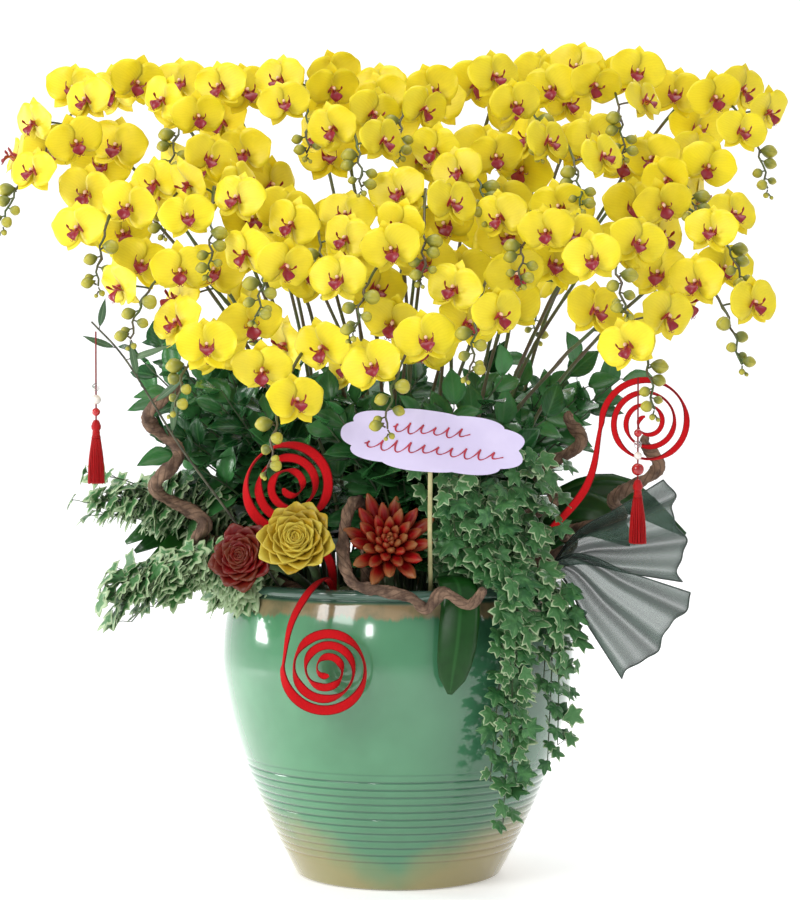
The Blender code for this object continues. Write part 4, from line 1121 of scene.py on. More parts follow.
def make_leaf(name, light, dark, count, slant, gloss, rib):
    """A glossy leaf: paler midrib and side veins over a clouded green."""
    leaf, tree, shader = finish_of(name, gloss, Specular_IOR_Level=0.32)
    veins = use(tree, VEINS, Place=place_on(tree), Count=count, Slant=slant, Width=0.16)
    own = own_share(tree)
    body = blend_of(tree, own, dark, light)
    cloud = use(tree, CLOUDING, Scale=38.0, Light=(1, 1, 1), Dark=(0.62, 0.66, 0.60), Grain=500.0)
    shade = tree.nodes.new("ShaderNodeMix")
    shade.data_type, shade.blend_type = "RGBA", "MULTIPLY"
    shade.inputs[0].default_value = 0.7
    tree.links.new(body, shade.inputs[6])
    tree.links.new(cloud["Color"], shade.inputs[7])
    body = blend_of(tree, times(tree, veins["Veins"], 0.18), shade.outputs[2], light)
    body = blend_of(tree, times(tree, veins["Midrib"], 0.55), body, rib)
    wire(tree, shader, body, veins["Veins"], 0.15, 0.0006)
    return leaf


STRAP = make_leaf("strap_leaf", STRAP_LIGHT, STRAP_GREEN, 3.0, 0.1, 0.30, (0.02, 0.10, 0.02))


def along_frame(heading, face):
    """A frame whose top runs along a heading and whose look side is nearest to a wanted face."""
    top = unit(heading)
    right = np.cross(np.asarray(face, float), top)
    right = unit(right) if np.linalg.norm(right) > 1e-6 else unit(np.cross(UP + 0.01, top))
    return np.stack([right, np.cross(top, right), top])


def strap(path, widths, fold, thick, number, seed, rows=16, columns=7, side=None, lean=UP):
    """A long blade laid along a path: its two halves fold up from the midrib."""
    line = smooth_through(path, rows)
    tangents = np.gradient(line, axis=0)
    tangents /= np.linalg.norm(tangents, axis=1, keepdims=True)
    half = np.interp(np.linspace(0, 1, rows), np.linspace(0, 1, len(widths)), widths)
    u = np.linspace(-1, 1, columns)
    grid = np.zeros((rows, columns, 3))
    for k, (point, tangent) in enumerate(zip(line, tangents)):
        across = np.cross(tangent, lean) if side is None else np.array(side, float)
        across = unit(across - across.dot(tangent) * tangent)
        above = np.cross(across, tangent)
        grid[k] = point + half[k] * (np.outer(u, across) + fold * np.outer(np.abs(u) ** 1.5, above))
    return shell(grid, thick, number, seed)


STRAP_WIDTHS = [0.009, 0.016, 0.022, 0.025, 0.026, 0.025, 0.021, 0.013, 0.003]
rng = np.random.default_rng(31)
for name, ((x, y), (first, last), reach) in STRAP_CLUMPS.items():
    base = np.array([x, y, STANDING])
    bits = [tube(base + np.outer([0, 0.012, 0.024, 0.030], UP), [0.010, 0.010, 0.007, 0.002], 10, 0, 0.3)]
    for k, bearing in enumerate(np.linspace(first, last, 5)):
        turn = math.radians(bearing + rng.uniform(-6, 6))
        out = np.array([math.cos(turn), math.sin(turn), 0])
        length = reach * rng.uniform(0.80, 1.08)
        lift = rng.uniform(0.55, 0.95)
        path = [base + UP * 0.006, base + out * 0.25 * length + UP * 0.50 * lift * length]
        path += [base + out * 0.62 * length + UP * 0.66 * lift * length]
        path += [base + out * 0.98 * length + UP * 0.42 * lift * length]
        lean = np.array([0, -0.9, 0.5]) if out[1] < 0.75 else UP
        bits.append(strap(path, STRAP_WIDTHS, 0.22, 0.0016, 0, rng.uniform(), lean=lean))
    piece(name.replace("orchid", "strap"), bits, [STRAP], [name])
drop = [(0.052, -0.152, STANDING), (0.060, -0.180, 0.397), (0.068, -0.210, 0.4000)]
drop += [(0.075, -0.228, 0.380), (0.072, -0.238, 0.330), (0.062, -0.2415, 0.262)]
hanging_widths = 0.024 * np.array([0.20, 0.42, 0.60, 0.74, 0.84, 0.92, 0.97,
                                   1.0, 1.0, 0.97, 0.88, 0.68, 0.12])
hanging = strap(drop, hanging_widths, 0.14, 0.0018, 0, 0.25, 38, 9, (1, 0, 0))
piece("strap_leaf_hanging", [hanging], [STRAP], ["orchid_leaf_hanging"])


# ---------------------------------------------------------------- foliage shrubs
# Leafy stems with dark glossy oval leaves fill the space between the pot and the flowers. Each clump is a
# handful of thin upright stems rooted together in the mix, with leaves alternating up every stem.
SHRUB_DARK = (0.006, 0.052, 0.012)
SHRUB_LIGHT = (0.055, 0.220, 0.060)
LEAF_LENGTH, LEAF_WIDTH = 0.070, 0.046
# clump: foot, middle of the stem tips, how far the tips spread, stems
SHRUB_CLUMPS = {
    "shrub_left": ((-0.145, 0.060), (-0.262, 0.045, 0.660), (0.085, 0.080, 0.085), 15),
    "shrub_left_front": ((-0.118, -0.045), (-0.205, -0.095, 0.600), (0.115, 0.055, 0.080), 17),
    "shrub_centre": ((0.014, -0.132), (0.020, -0.150, 0.590), (0.165, 0.050, 0.085), 22),
    "shrub_right": ((0.110, 0.115), (0.190, 0.070, 0.610), (0.110, 0.120, 0.080), 15),
    "shrub_back": ((-0.080, 0.145), (-0.030, 0.210, 0.600), (0.190, 0.060, 0.090), 16),
}
SHRUB = make_leaf("oval_leaf", SHRUB_LIGHT, SHRUB_DARK, 7.0, 0.45, 0.26, (0.06, 0.18, 0.06))
SHRUB_STEM = clouded("shrub_stem", 0.6, 60.0, (0.05, 0.10, 0.03), (0.03, 0.045, 0.02), 500.0, (0.2, 0.0005))
OVAL_WIDTHS = round_widths(0.5 * LEAF_WIDTH, 0.86, 0.85)
rng = np.random.default_rng(47)
OVAL_KINDS = [blade(LEAF_LENGTH, OVAL_WIDTHS, rng.uniform(-0.28, -0.05), rng.uniform(0.18, 0.42), 0.0009, 0,
                    (0.0012, 2.0, rng.uniform(0, 6)), 0.0, 5, 8) for _ in range(6)]


def leafy_stem(line, leaves, size, rng):
    """A thin stem whose leaves alternate round it, smaller and more upright towards its tip."""
    bits = [tube(line, np.linspace(0.0021, 0.0009, len(line)), 6, 1, rng.uniform())]
    whole = length_of(line)
    start = rng.uniform(0, 6.3)
    for k in range(leaves):
        share = 0.24 + 0.76 * k / (leaves - 1)
        root = at_distances(line, [share * whole])[0]
        tangent = unit(at_distances(line, [min(share * whole + 0.01, whole)])[0]
                       - at_distances(line, [share * whole - 0.01])[0])
        turn = start + k * 2.4
        side = unit(np.cross(tangent, [0.3, 1.0, 0.2]))
        out = side * math.cos(turn) + np.cross(tangent, side) * math.sin(turn)
        heading = unit(out + tangent * (0.35 + 1.1 * share**3) + UP * rng.uniform(-0.25, 0.2))
        scale = size * (1.0 - 0.35 * share) * rng.uniform(0.8, 1.12)
        frame = along_frame(heading, tangent * 0.7 + UP * 0.35 - np.array([0, 0.75, 0]))
        petiole = 0.007 * scale
        bits.append(tube([root, root + heading * (petiole + 0.003)], 0.0007, 5, 1))
        kind = OVAL_KINDS[int(rng.integers(6))]
        bits.append(moved(kind, frame, root + heading * petiole, scale, rng.uniform()))
    return bits


for name, (foot, tip, spread, stems) in SHRUB_CLUMPS.items():
    bits = []
    for k in range(stems):
        turn = k * 2.4
        reach = math.sqrt((k + 0.5) / stems)
        rooted = (foot[0] + 0.016 * reach * math.cos(turn), foot[1] + 0.012 * reach * math.sin(turn))
        low = np.array([*rooted, STANDING])
        shift = np.array([math.cos(turn), math.sin(turn), 1.6 * rng.uniform(-0.5, 0.5)]) * reach
        high = np.array(tip) + shift * spread
        bend = low + (high - low) * (0.30, 0.30, 0.58) + rng.uniform(-0.008, 0.008, 3)
        bits += leafy_stem(smooth_through([low, bend, high], 14), 12, 1.0, rng)
    piece(name.replace("shrub", "foliage"), bits, [SHRUB, SHRUB_STEM], [name])


# ---------------------------------------------------------------- ivy
# Variegated ivy spills over the rim in strands. Its lobed leaves are mid green with pale veins and thin
# cream margins, and hang tip down from short stalks; the strands are rooted in the mix.
IVY_GREEN = (0.060, 0.185, 0.055)
IVY_DARK = (0.010, 0.070, 0.020)
IVY_CREAM = (0.44, 0.54, 0.32)
# the half outline of a leaf: degrees from its tip, and reach
IVY_LOBES = [(0, 1.0), (12, 0.80), (25, 0.55), (38, 0.62), (52, 0.82), (63, 0.66), (79, 0.45), (97, 0.52),
             (113, 0.62), (131, 0.50), (158, 0.34)]
IVY_VEINS = (0, 52, 113)
OVER_1 = [(0.078, -0.140), (0.110, -0.178, 0.412), (0.140, -0.206, 0.388)]
OVER_2 = [(0.115, -0.125), (0.152, -0.162, 0.402), (0.186, -0.174, 0.380)]
# node: the strand's points, extra strands, leaves on each, how far the extra strands stray
IVY_STRANDS = {
    "ivy_trail_right_1": ([*OVER_1, (0.138, -0.206, 0.300), (0.128, -0.205, 0.100)], 3, 32, 0.020),
    "ivy_trail_right_2": ([*OVER_2, (0.190, -0.165, 0.300), (0.185, -0.160, 0.165)], 3, 24, 0.017),
    "ivy_spray_right_1": ([(0.068, -0.138), (0.078, -0.185, 0.455), (0.072, -0.225, 0.540)], 14, 16, 0.046),
    "ivy_spray_right_2": ([(0.096, -0.116), (0.140, -0.182, 0.470), (0.165, -0.208, 0.550)], 14, 16, 0.046),
    "ivy_trail_left_1": ([(-0.160, -0.075), (-0.205, -0.110, 0.405), (-0.290, -0.155, 0.400),
                          (-0.350, -0.165, 0.345)], 26, 26, 0.046),
    "ivy_trail_left_2": ([(-0.172, -0.038), (-0.225, -0.055, 0.440), (-0.300, -0.080, 0.490),
                          (-0.365, -0.105, 0.490)], 30, 22, 0.060),
    "ivy_trail_back": ([(0.050, 0.165), (0.055, 0.205, 0.402), (0.055, 0.235, 0.375), (0.050, 0.240, 0.200)],
                       4, 20, 0.030),
}


def ivy_leaf():
    """A lobed leaf one long from its stalk to its tip: z along, x across, y out of its face."""
    outline = [(d, r) for d, r in IVY_LOBES] + [(180, 0.26)] + [(360 - d, r) for d, r in IVY_LOBES[:0:-1]]
    points, place = [(0, 0, 0)], [(1.0, 0, 0)]
    for share in (0.45, 0.8, 1.0):
        for degrees, reach in outline:
            turn = math.radians(degrees)
            r = reach * share
            nearest = min(abs(min(degrees, 360 - degrees) - vein) for vein in IVY_VEINS)
            points.append((r * math.sin(turn), -0.16 * r * r + 0.05 * share * math.cos(5 * turn),
                           r * math.cos(turn)))
            place.append((nearest / 14.0, share, 0))
    points, place, count = np.array(points), np.array(place, float), len(outline)
    top = [(0, 1 + i, 1 + (i + 1) % count) for i in range(count)]
    for ring in (0, 1):
        a = 1 + ring * count
        for i in range(count):
            j = (i + 1) % count
            top.append((a + i, a + count + i, a + count + j, a + j))
    under = [tuple(v + len(points) for v in face[::-1]) for face in top]
    last = 1 + 2 * count
    edge = [(last + (i + 1) % count, last + i, last + i + len(points), last + (i + 1) % count + len(points))
            for i in range(count)]
    thick = np.array([0, 0.012, 0])
    return np.vstack([points + thick, points - thick]), top + under + edge, 0, np.vstack([place, place])


def make_ivy_leaf():
    ivy, tree, shader = finish_of("variegated_ivy", 0.42, Specular_IOR_Level=0.35)
    split = add(tree, "ShaderNodeSeparateXYZ", Vector=place_on(tree))
    where = add(tree, "ShaderNodeTexCoord").outputs["Object"]
    ragged = add(tree, "ShaderNodeTexNoise", Vector=where, Scale=160.0, Detail=3.0)
    cloud = use(tree, CLOUDING, Scale=90.0, Light=IVY_GREEN, Dark=IVY_DARK, Grain=600.0)
    body = blend_of(tree, split.outputs[2], cloud["Color"], IVY_GREEN)
    edge = maths(tree, "ADD", split.outputs[1], times(tree, ragged.outputs["Fac"], 0.55))
    edge = maths(tree, "ADD", edge, times(tree, split.outputs[2], 0.28))
    margin = step_of(tree, edge, 1.30, 1.46)
    body = blend_of(tree, times(tree, margin, 0.75), body, IVY_CREAM)
    vein = rest_of(tree, step_of(tree, split.outputs[0], 0.0, 0.22))
    body = blend_of(tree, times(tree, vein, 0.45), body, (0.20, 0.36, 0.15))
    wire(tree, shader, body, vein, 0.15, 0.0005)
    return ivy


IVY, IVY_STEM = make_ivy_leaf(), SHRUB_STEM
IVY_LEAF = ivy_leaf()


def clear_of_pot(points, room):
    """Pushes points outside the pot wall, and over its lip, by at least some room."""
    points = points.copy()
    for point in points:
        reach = math.hypot(point[0], point[1])
        if point[2] < POT_HEIGHT + 0.004 and reach > POT_MOUTH_RADIUS - 0.02:
            wanted = pot_radius(min(max(point[2], 0), neck)) + RIM_OVERHANG + room
            if reach < wanted:
                point[:2] *= wanted / reach
    return points


def ivy_strand(line, leaves, pale, rng):
    bits = [tube(line, np.linspace(0.0015, 0.0007, len(line)), 6, 1, rng.uniform())]
    whole = length_of(line)
    for k in range(leaves):
        share = 0.10 + 0.90 * k / (leaves - 1)
        root = at_distances(line, [share * whole])[0]
        outward = level([root[0], root[1] - 0.02, 0])
        side = np.cross(outward, UP)
        hand = 1 if k % 2 else -1
        stalk_way = unit(outward * rng.uniform(0.5, 1.2) + side * hand * rng.uniform(0.5, 1.3)
                         + UP * rng.uniform(-0.1, 0.7))
        scale = (0.028 - 0.011 * share) * (1 + 0.3 * pale) * rng.uniform(0.7, 1.3)
        joint = root + stalk_way * rng.uniform(0.25, 0.75) * 0.03
        heading = unit(-UP * rng.uniform(0.0, 1.0) + side * hand * rng.uniform(0.1, 1.3)
                       + outward * rng.uniform(0.1, 0.8))
        frame = along_frame(heading, outward + UP * rng.uniform(0.1, 0.9) + side * rng.uniform(-0.6, 0.6))
        bits.append(tube([root, 0.5 * (root + joint) + UP * 0.001, joint], 0.0005, 5, 1))
        bits.append(moved(IVY_LEAF, frame, joint, scale, pale + rng.uniform()))
    return bits


rng = np.random.default_rng(59)
for name, (points, extra, leaves, stray) in IVY_STRANDS.items():
    points = [(*points[0], STANDING), *points[1:]]
    pale = 0.8 if "left" in name else 0.0
    bits = ivy_strand(smooth_through(points, 24), leaves, pale, rng)
    for k in range(extra):
        share = rng.uniform(0.45, 0.95)
        line = smooth_through(points, 24)
        line = at_distances(line, np.linspace(0, share * length_of(line), 20))
        drift = rng.uniform(-1, 1, 3) * (1.0, 0.6, 0.5) * stray
        line = line + np.linspace(0, 1, 20)[:, None] ** 0.7 * drift
        bits += ivy_strand(clear_of_pot(line, 0.010), max(6, int(leaves * share)), pale, rng)
    piece(name.replace("ivy", "variegated_ivy"), bits, [IVY, IVY_STEM], [name])


# ---------------------------------------------------------------- succulent rosettes
# Three plump rosettes lean over the rim on short stalks: dark red, golden and bronze. Their thick leaves
# overlap in spirals, tight at the heart and spread wide at the outside.
# node: foot, heart, face, radius, leaves, a leaf's half width and thickness in radii, body and tip colours
GOLDEN_ANGLE = 2.39996
ROSETTES = {
    "succulent_red": ((-0.092, -0.102), (-0.188, -0.206, 0.424), (-0.35, -1, 0.35), 0.042, 50, 0.36, 0.20,
                      (0.160, 0.003, 0.004), (0.115, 0.024, 0.008)),
    "succulent_gold": ((-0.092, -0.130), (-0.122, -0.238, 0.446), (-0.1, -1, 0.45), 0.047, 62, 0.36, 0.16,
                       (0.42, 0.26, 0.012), (0.50, 0.40, 0.05)),
    "succulent_bronze": ((-0.010, -0.170), (-0.012, -0.212, 0.441), (0.05, -1, 0.45), 0.060, 46,
                         0.118, 0.22, (0.30, 0.004, 0.005), (0.24, 0.095, 0.030)),
}


def make_rosette(name, body, tip):
    rosette, tree, shader = finish_of(name, 0.36, Specular_IOR_Level=0.22)
    split = add(tree, "ShaderNodeSeparateXYZ", Vector=place_on(tree))
    cloud = use(tree, CLOUDING, Scale=70.0, Light=body, Dark=tuple(0.55 * c for c in body), Grain=500.0)
    ripe = maths(tree, "ADD", split.outputs[1], times(tree, split.outputs[2], 0.25))
    tipped = step_of(tree, ripe, 0.88, 1.24)
    edge = step_of(tree, maths(tree, "ABSOLUTE", split.outputs[0]), 0.78, 1.0)
    # painted shade: each leaf darkens towards its base, deep inside the rosette
    deep = tuple(0.18 * c for c in body)
    shaded = blend_of(tree, step_of(tree, split.outputs[1], 0.15, 0.80), deep, cloud["Color"])
    colour = blend_of(tree, tipped, shaded, tip)
    colour = blend_of(tree, times(tree, edge, 0.3), colour, tip)
    wire(tree, shader, colour, cloud["Height"], 0.2, 0.0006)
    return rosette


rng = np.random.default_rng(67)
for name, (foot, heart, face, radius, leaves, wide, thick, body, tip) in ROSETTES.items():
    heart, face = np.array(heart), unit(face)
    right = unit(np.cross(face, UP))
    top = np.cross(right, face)
    neck = heart - face * 0.3 * radius
    base = np.array([*foot, STANDING])
    stalk = smooth_through([base, 0.5 * (base + neck) + UP * 0.014, neck, heart], 8)
    bits = [tube(stalk, 0.0055, 8, 1, 0.4)]
    for k in range(leaves):
        share = (k + 0.5) / leaves
        turn = k * GOLDEN_ANGLE
        around = right * math.cos(turn) + top * math.sin(turn)
        open_by = math.radians(6 + 74 * share**0.8)
        heading = face * math.cos(open_by) + around * math.sin(open_by)
        length = radius * (0.32 + 0.72 * share**0.8) * rng.uniform(0.94, 1.06)
        half = wide * radius * (0.55 + 0.50 * share)
        made = blade(length, half * np.array([0.50, 0.62, 0.76, 0.90, 1.0, 1.02, 0.96, 0.76, 0.30]), 0.22,
                     0.45, thick * radius * (0.5 + 0.5 * share), 0, (0, 1, 0), 0.0, 5, 8)
        frame = along_frame(heading, face + around * -0.2)
        root = heart + around * 0.10 * radius * share - face * 0.20 * radius * share
        bits.append(moved(made, frame, root, 1.0, rng.uniform()))
    finish = make_rosette(name.replace("succulent", "rosette"), body, tip)
    piece(name.replace("succulent", "rosette"), bits, [finish, SHRUB_STEM],
          [name])


# ---------------------------------------------------------------- twisted vines
# Dried brown liana stems, ridged and twisted, are stuck into the mix. Three stand up in tight coils, and one
# curls over beside the bronze rosette and runs along the lip.
VINE_RADIUS = 0.0075
VINE_SWELL = 1.15
VINE_TAN = (0.290, 0.180, 0.115)
VINE_DARK = (0.075, 0.040, 0.025)
# node: points, radius, samples, how far it coils off its line, coils
VINES = {
    "vine_left": ([(-0.112, -0.070, STANDING), (-0.190, -0.112, 0.430), (-0.240, -0.135, 0.462),
                   (-0.270, -0.147, 0.530), (-0.272, -0.150, 0.640)], VINE_RADIUS, 120, 0.019, 4.0),
    "vine_front": ([(-0.040, -0.145, STANDING), (-0.040, -0.172, 0.475), (-0.058, -0.198, 0.488),
                    (-0.067, -0.224, 0.440), (-0.056, -0.240, 0.398), (-0.020, -0.246, 0.388),
                    (0.014, -0.245, 0.380), (0.034, -0.246, 0.366), (0.054, -0.252, 0.386),
                    (0.084, -0.262, 0.372), (0.104, -0.260, 0.392)], 0.85 * VINE_RADIUS, 130, 0.0, 0.0),
    "vine_right_inner": ([(0.120, 0.015, STANDING), (0.180, -0.040, 0.450), (0.220, -0.085, 0.540),
                          (0.250, -0.090, 0.600)], VINE_RADIUS, 110, 0.017, 3.5),
    "vine_right_outer": ([(0.158, 0.000, STANDING), (0.230, -0.015, 0.430), (0.300, -0.075, 0.480),
                          (0.345, -0.110, 0.570)], VINE_RADIUS, 110, 0.017, 3.5),
}


def make_bark():
    bark, tree, shader = finish_of("twisted_bark", 0.85)
    strands = use(tree, STRANDS, Place=place_on(tree), Across=5.0, Along=0.9, Fuzz=0.9)
    cloud = use(tree, CLOUDING, Scale=55.0, Light=VINE_TAN, Dark=VINE_DARK, Grain=420.0)
    grooves = rest_of(tree, step_of(tree, strands["Ridge"], 0.0, 0.5))
    colour = blend_of(tree, times(tree, grooves, 0.75), cloud["Color"], VINE_DARK)
    wire(tree, shader, colour, strands["Height"], 0.7, 0.0015)
    return bark


def ridged(path, radii, sides, number, ridges, depth, twist, rng):
    """A tube with raised strands that wind round it."""
    points, faces, number, place = tube(path, 1.0, sides, number)
    path = np.asarray(path, float)
    along = travelled(path)
    rings = points.reshape(len(path), sides, 3) - path[:, None]
    turns = np.arange(sides) * 2 * math.pi / sides
    relief = 1 + depth * np.cos(ridges * turns[None] + twist * along[:, None])
    relief += 0.04 * rng.uniform(-1, 1, relief.shape)
    rings = rings * (np.broadcast_to(radii, len(path))[:, None] * relief)[..., None] + path[:, None]
    return rings.reshape(-1, 3), faces, number, place


BARK = make_bark()
rng = np.random.default_rng(71)
for name, (points, radius, samples, swing, coils) in VINES.items():
    share = np.linspace(0, 1, samples)
    turn = 2 * math.pi * coils * share
    coil = np.stack([np.cos(turn) - 1, 0.8 * np.sin(turn), 0 * turn], axis=1)
    line = smooth_through(points, samples) + swing * np.minimum(1, 4 * share)[:, None] * coil
    lumps = 1 + 0.10 * np.sin(share * 37 + rng.uniform(0, 6)) + 0.07 * np.sin(share * 83)
    radii = VINE_SWELL * radius * (1 - 0.15 * share) * lumps
    radii[-3:] *= (0.9, 0.75, 0.4)
    bits = [ridged(line, radii, 20, 0, 4, 0.17, 260, rng)]
    piece(name.replace("vine", "twisted_vine"), bits, [BARK], [name])


# ---------------------------------------------------------------- hanging twig
# A thin bare twig leans out to the upper left and carries the left ornament from its tip. It has a few
# narrow grey-green leaves on short stalks.
TWIG = [(-0.138, -0.110, STANDING), (-0.190, -0.165, 0.450), (-0.265, -0.208, 0.560)]
TWIG += [(-0.330, -0.215, 0.665), (-0.372, -0.215, 0.712)]
# how far up the twig, which way, and length
TWIG_LEAVES = [(0.62, (0.1, -0.3, 1), 0.055), (0.72, (0.9, 0.1, 0.7), 0.050), (0.80, (-0.2, -0.2, 1), 0.045),
               (0.86, (0.8, -0.2, 0.2), 0.060), (0.90, (-1, 0.2, 0.3), 0.040), (0.97, (0.2, 0.1, 1), 0.034)]
TWIG_BARK = clouded("twig_bark", 0.75, 60.0, (0.10, 0.10, 0.06), (0.035, 0.035, 0.022), 500.0, (0.3, 0.0006))
NARROW = make_leaf("narrow_leaf", (0.12, 0.20, 0.10), (0.05, 0.11, 0.05), 9.0, 0.7, 0.4, (0.2, 0.3, 0.16))
rng = np.random.default_rng(73)
twig_line = smooth_through(TWIG, 40)
bits = [tube(twig_line, np.linspace(0.0019, 0.0011, 40), 8, 0)]
for share, heading, length in TWIG_LEAVES:
    root = at_distances(twig_line, [share * length_of(twig_line)])[0]
    heading = unit(heading)
    made = blade(length, round_widths(0.0045, 0.8, 0.9), 0.15, 0.2, 0.0008, 1, (0, 1, 0), 0.0, 5, 8)
    bits.append(tube([root, root + heading * 0.006], 0.0006, 5, 0))
    bits.append(moved(made, along_frame(heading, (0.1, -1, 0.4)), root + heading * 0.005, 1.0, rng.uniform()))
piece("bare_twig", bits, [TWIG_BARK, NARROW], ["hanging_twig"])


# ---------------------------------------------------------------- felt spirals
# Three wired bands of red felt wind into flat spirals that face the front. Each stands on its own tail,
# stuck in the mix; the band twists as it winds, so it shows now its face and now its edge.
FELT_RED = (0.56, 0.002, 0.005)
FELT_EDGE = (0.16, 0.0, 0.003)
FELT_HALF_WIDTH, FELT_THICKNESS = 0.0062, 0.0030
# node: tail, centre, radius, turns, spin, first angle, where the band lies flat, share of the full width
SPIRALS = {
    "felt_spiral_left": ([(-0.080, -0.128, STANDING), (-0.084, -0.165, 0.415), (-0.104, -0.196, 0.447)],
                         (-0.132, -0.200, 0.512), 0.058, 3.2, -1, -90, 40, 1.05),
    "felt_spiral_front": ([(-0.075, -0.150, STANDING), (-0.084, -0.174, 0.392), (-0.094, -0.202, 0.397),
                           (-0.112, -0.230, 0.380), (-0.130, -0.248, 0.345)],
                          (-0.086, -0.253, 0.294), 0.053, 3.3, 1, 180, 80, 1.0),
    "felt_spiral_right": ([(0.135, -0.108, STANDING), (0.168, -0.140, 0.430), (0.228, -0.208, 0.510)],
                          (0.300, -0.235, 0.590), 0.055, 3.2, -1, 180, 150, 0.65),
}


def make_felt():
    felt, tree, shader = finish_of("red_felt", 0.85, Specular_IOR_Level=0.2, Sheen_Weight=0.08,
                                   Sheen_Roughness=0.5, Sheen_Tint=(1, 0.2, 0.2))
    where = add(tree, "ShaderNodeTexCoord").outputs["Object"]
    fibres = add(tree, "ShaderNodeTexNoise", Vector=where, Scale=420.0, Detail=5.0, Roughness=0.7)
    split = add(tree, "ShaderNodeSeparateXYZ", Vector=place_on(tree))
    rim = step_of(tree, maths(tree, "ABSOLUTE", split.outputs[0]), 0.72, 1.0)
    body = blend_of(tree, times(tree, fibres.outputs["Fac"], 0.55), FELT_RED, FELT_EDGE)
    wire(tree, shader, blend_of(tree, rim, body, FELT_EDGE), fibres.outputs["Fac"], 0.5, 0.0012)
    return felt


def band(path, across, halves, thick, number):
    """A band laid along a path, with its width turned as given at each point."""
    tangents = np.gradient(path, axis=0)
    tangents /= np.linalg.norm(tangents, axis=1, keepdims=True)
    across = across - (across * tangents).sum(1, keepdims=True) * tangents
    across /= np.linalg.norm(across, axis=1, keepdims=True)
    u = np.linspace(-1, 1, 7)[None, :, None]
    grid = path[:, None] + halves[:, None, None] * u * across[:, None]
    return shell(grid, thick, number)


FELT = make_felt()
for name, (tail, centre, radius, turns, spin, first, flat_at, slim) in SPIRALS.items():
    steps = 170
    share = np.linspace(0, 1, steps)
    turn = math.radians(first) + spin * 2 * math.pi * turns * share
    reach = radius * (1 - 0.86 * share)
    out = np.stack([np.cos(turn), 0 * turn, np.sin(turn)], axis=1)
    wound = np.array(centre) + out * reach[:, None]
    tail_line = smooth_through([*tail, wound[0]], 40)
    path = np.vstack([tail_line[:-1], wound])
    # the band's face shows twice a turn; its tail turns from flat to edge-on as it meets the spiral
    facing_us = 0.5 + 0.5 * np.cos(2 * (turn - math.radians(flat_at)) + 0.8 * np.sin(turn * 0.7))
    tilt = 0.5 * math.pi * np.clip(0.05 + 1.1 * facing_us, 0, 1)
    front = np.array([0, 1.0, 0])
    across = front * np.cos(tilt)[:, None] + out * np.sin(tilt)[:, None]
    ease = np.linspace(0, 1, 39)[:, None] ** 2
    tail_across = (1 - ease) * np.array([1.0, 0.1, 0.25]) * np.sign(across[0, 0] or 1) + ease * across[0]
    across = np.vstack([tail_across, across])
    width = FELT_HALF_WIDTH * np.concatenate([0.45 + 0.45 * np.sin(np.linspace(0, math.pi, 39)),
                                              (0.62 + 0.38 * reach / radius) * slim])
    width[-6:] *= np.linspace(1, 0.45, 6)
    piece(name.replace("felt_spiral", "red_spiral"), [band(path, across, width, FELT_THICKNESS, 0)], [FELT],
          [name])


# ---------------------------------------------------------------- tassels
# Below each cord hangs a string of glass and pearl beads and a silk tassel: a wrapped head, a waist, and
# a skirt of fine threads cut level at the bottom. Beads and tassel are threaded on one line.
TASSEL_LENGTH = 0.076
TASSEL_RADIUS = 0.0115
THREADS = 150
# the head's outline as (radius, height): a knot, a bulb and a wrapped waist
TASSEL_HEAD = [(0, 0.002), (0.003, 0.001), (0.0046, -0.002), (0.0060, -0.006), (0.0056, -0.0095),
               (0.0040, -0.012), (0.0046, -0.0125), (0.0047, -0.0150), (0.0046, -0.0175),
               (0.0060, -0.020), (0, -0.021)]
BEAD_COLOURS = {"left": [2, 3, 1], "right": [1, 2, 3, 1]}
RED_BEAD, tree, shader = finish_of("red_glass_bead", 0.12, Coat_Weight=0.6, Coat_Roughness=0.05)
bead_cloud = use(tree, CLOUDING, Scale=140.0, Light=(0.50, 0.004, 0.006),
                 Dark=(0.26, 0.0, 0.004), Grain=300.0)
wire(tree, shader, bead_cloud["Color"])
CLEAR_BEAD, tree, shader = finish_of("clear_glass_bead", 0.04, Transmission_Weight=0.85, IOR=1.45)
bead_cloud = use(tree, CLOUDING, Scale=200.0, Light=(0.98, 0.97, 0.95), Dark=(0.88, 0.90, 0.92), Grain=300.0)
wire(tree, shader, bead_cloud["Color"])
PEARL_BEAD, tree, shader = finish_of("white_bead", 0.25, Coat_Weight=0.4, Coat_Roughness=0.1)
bead_cloud = use(tree, CLOUDING, Scale=160.0, Light=(0.84, 0.80, 0.74), Dark=(0.70, 0.62, 0.55), Grain=300.0)
wire(tree, shader, bead_cloud["Color"])
rng = np.random.default_rng(79)
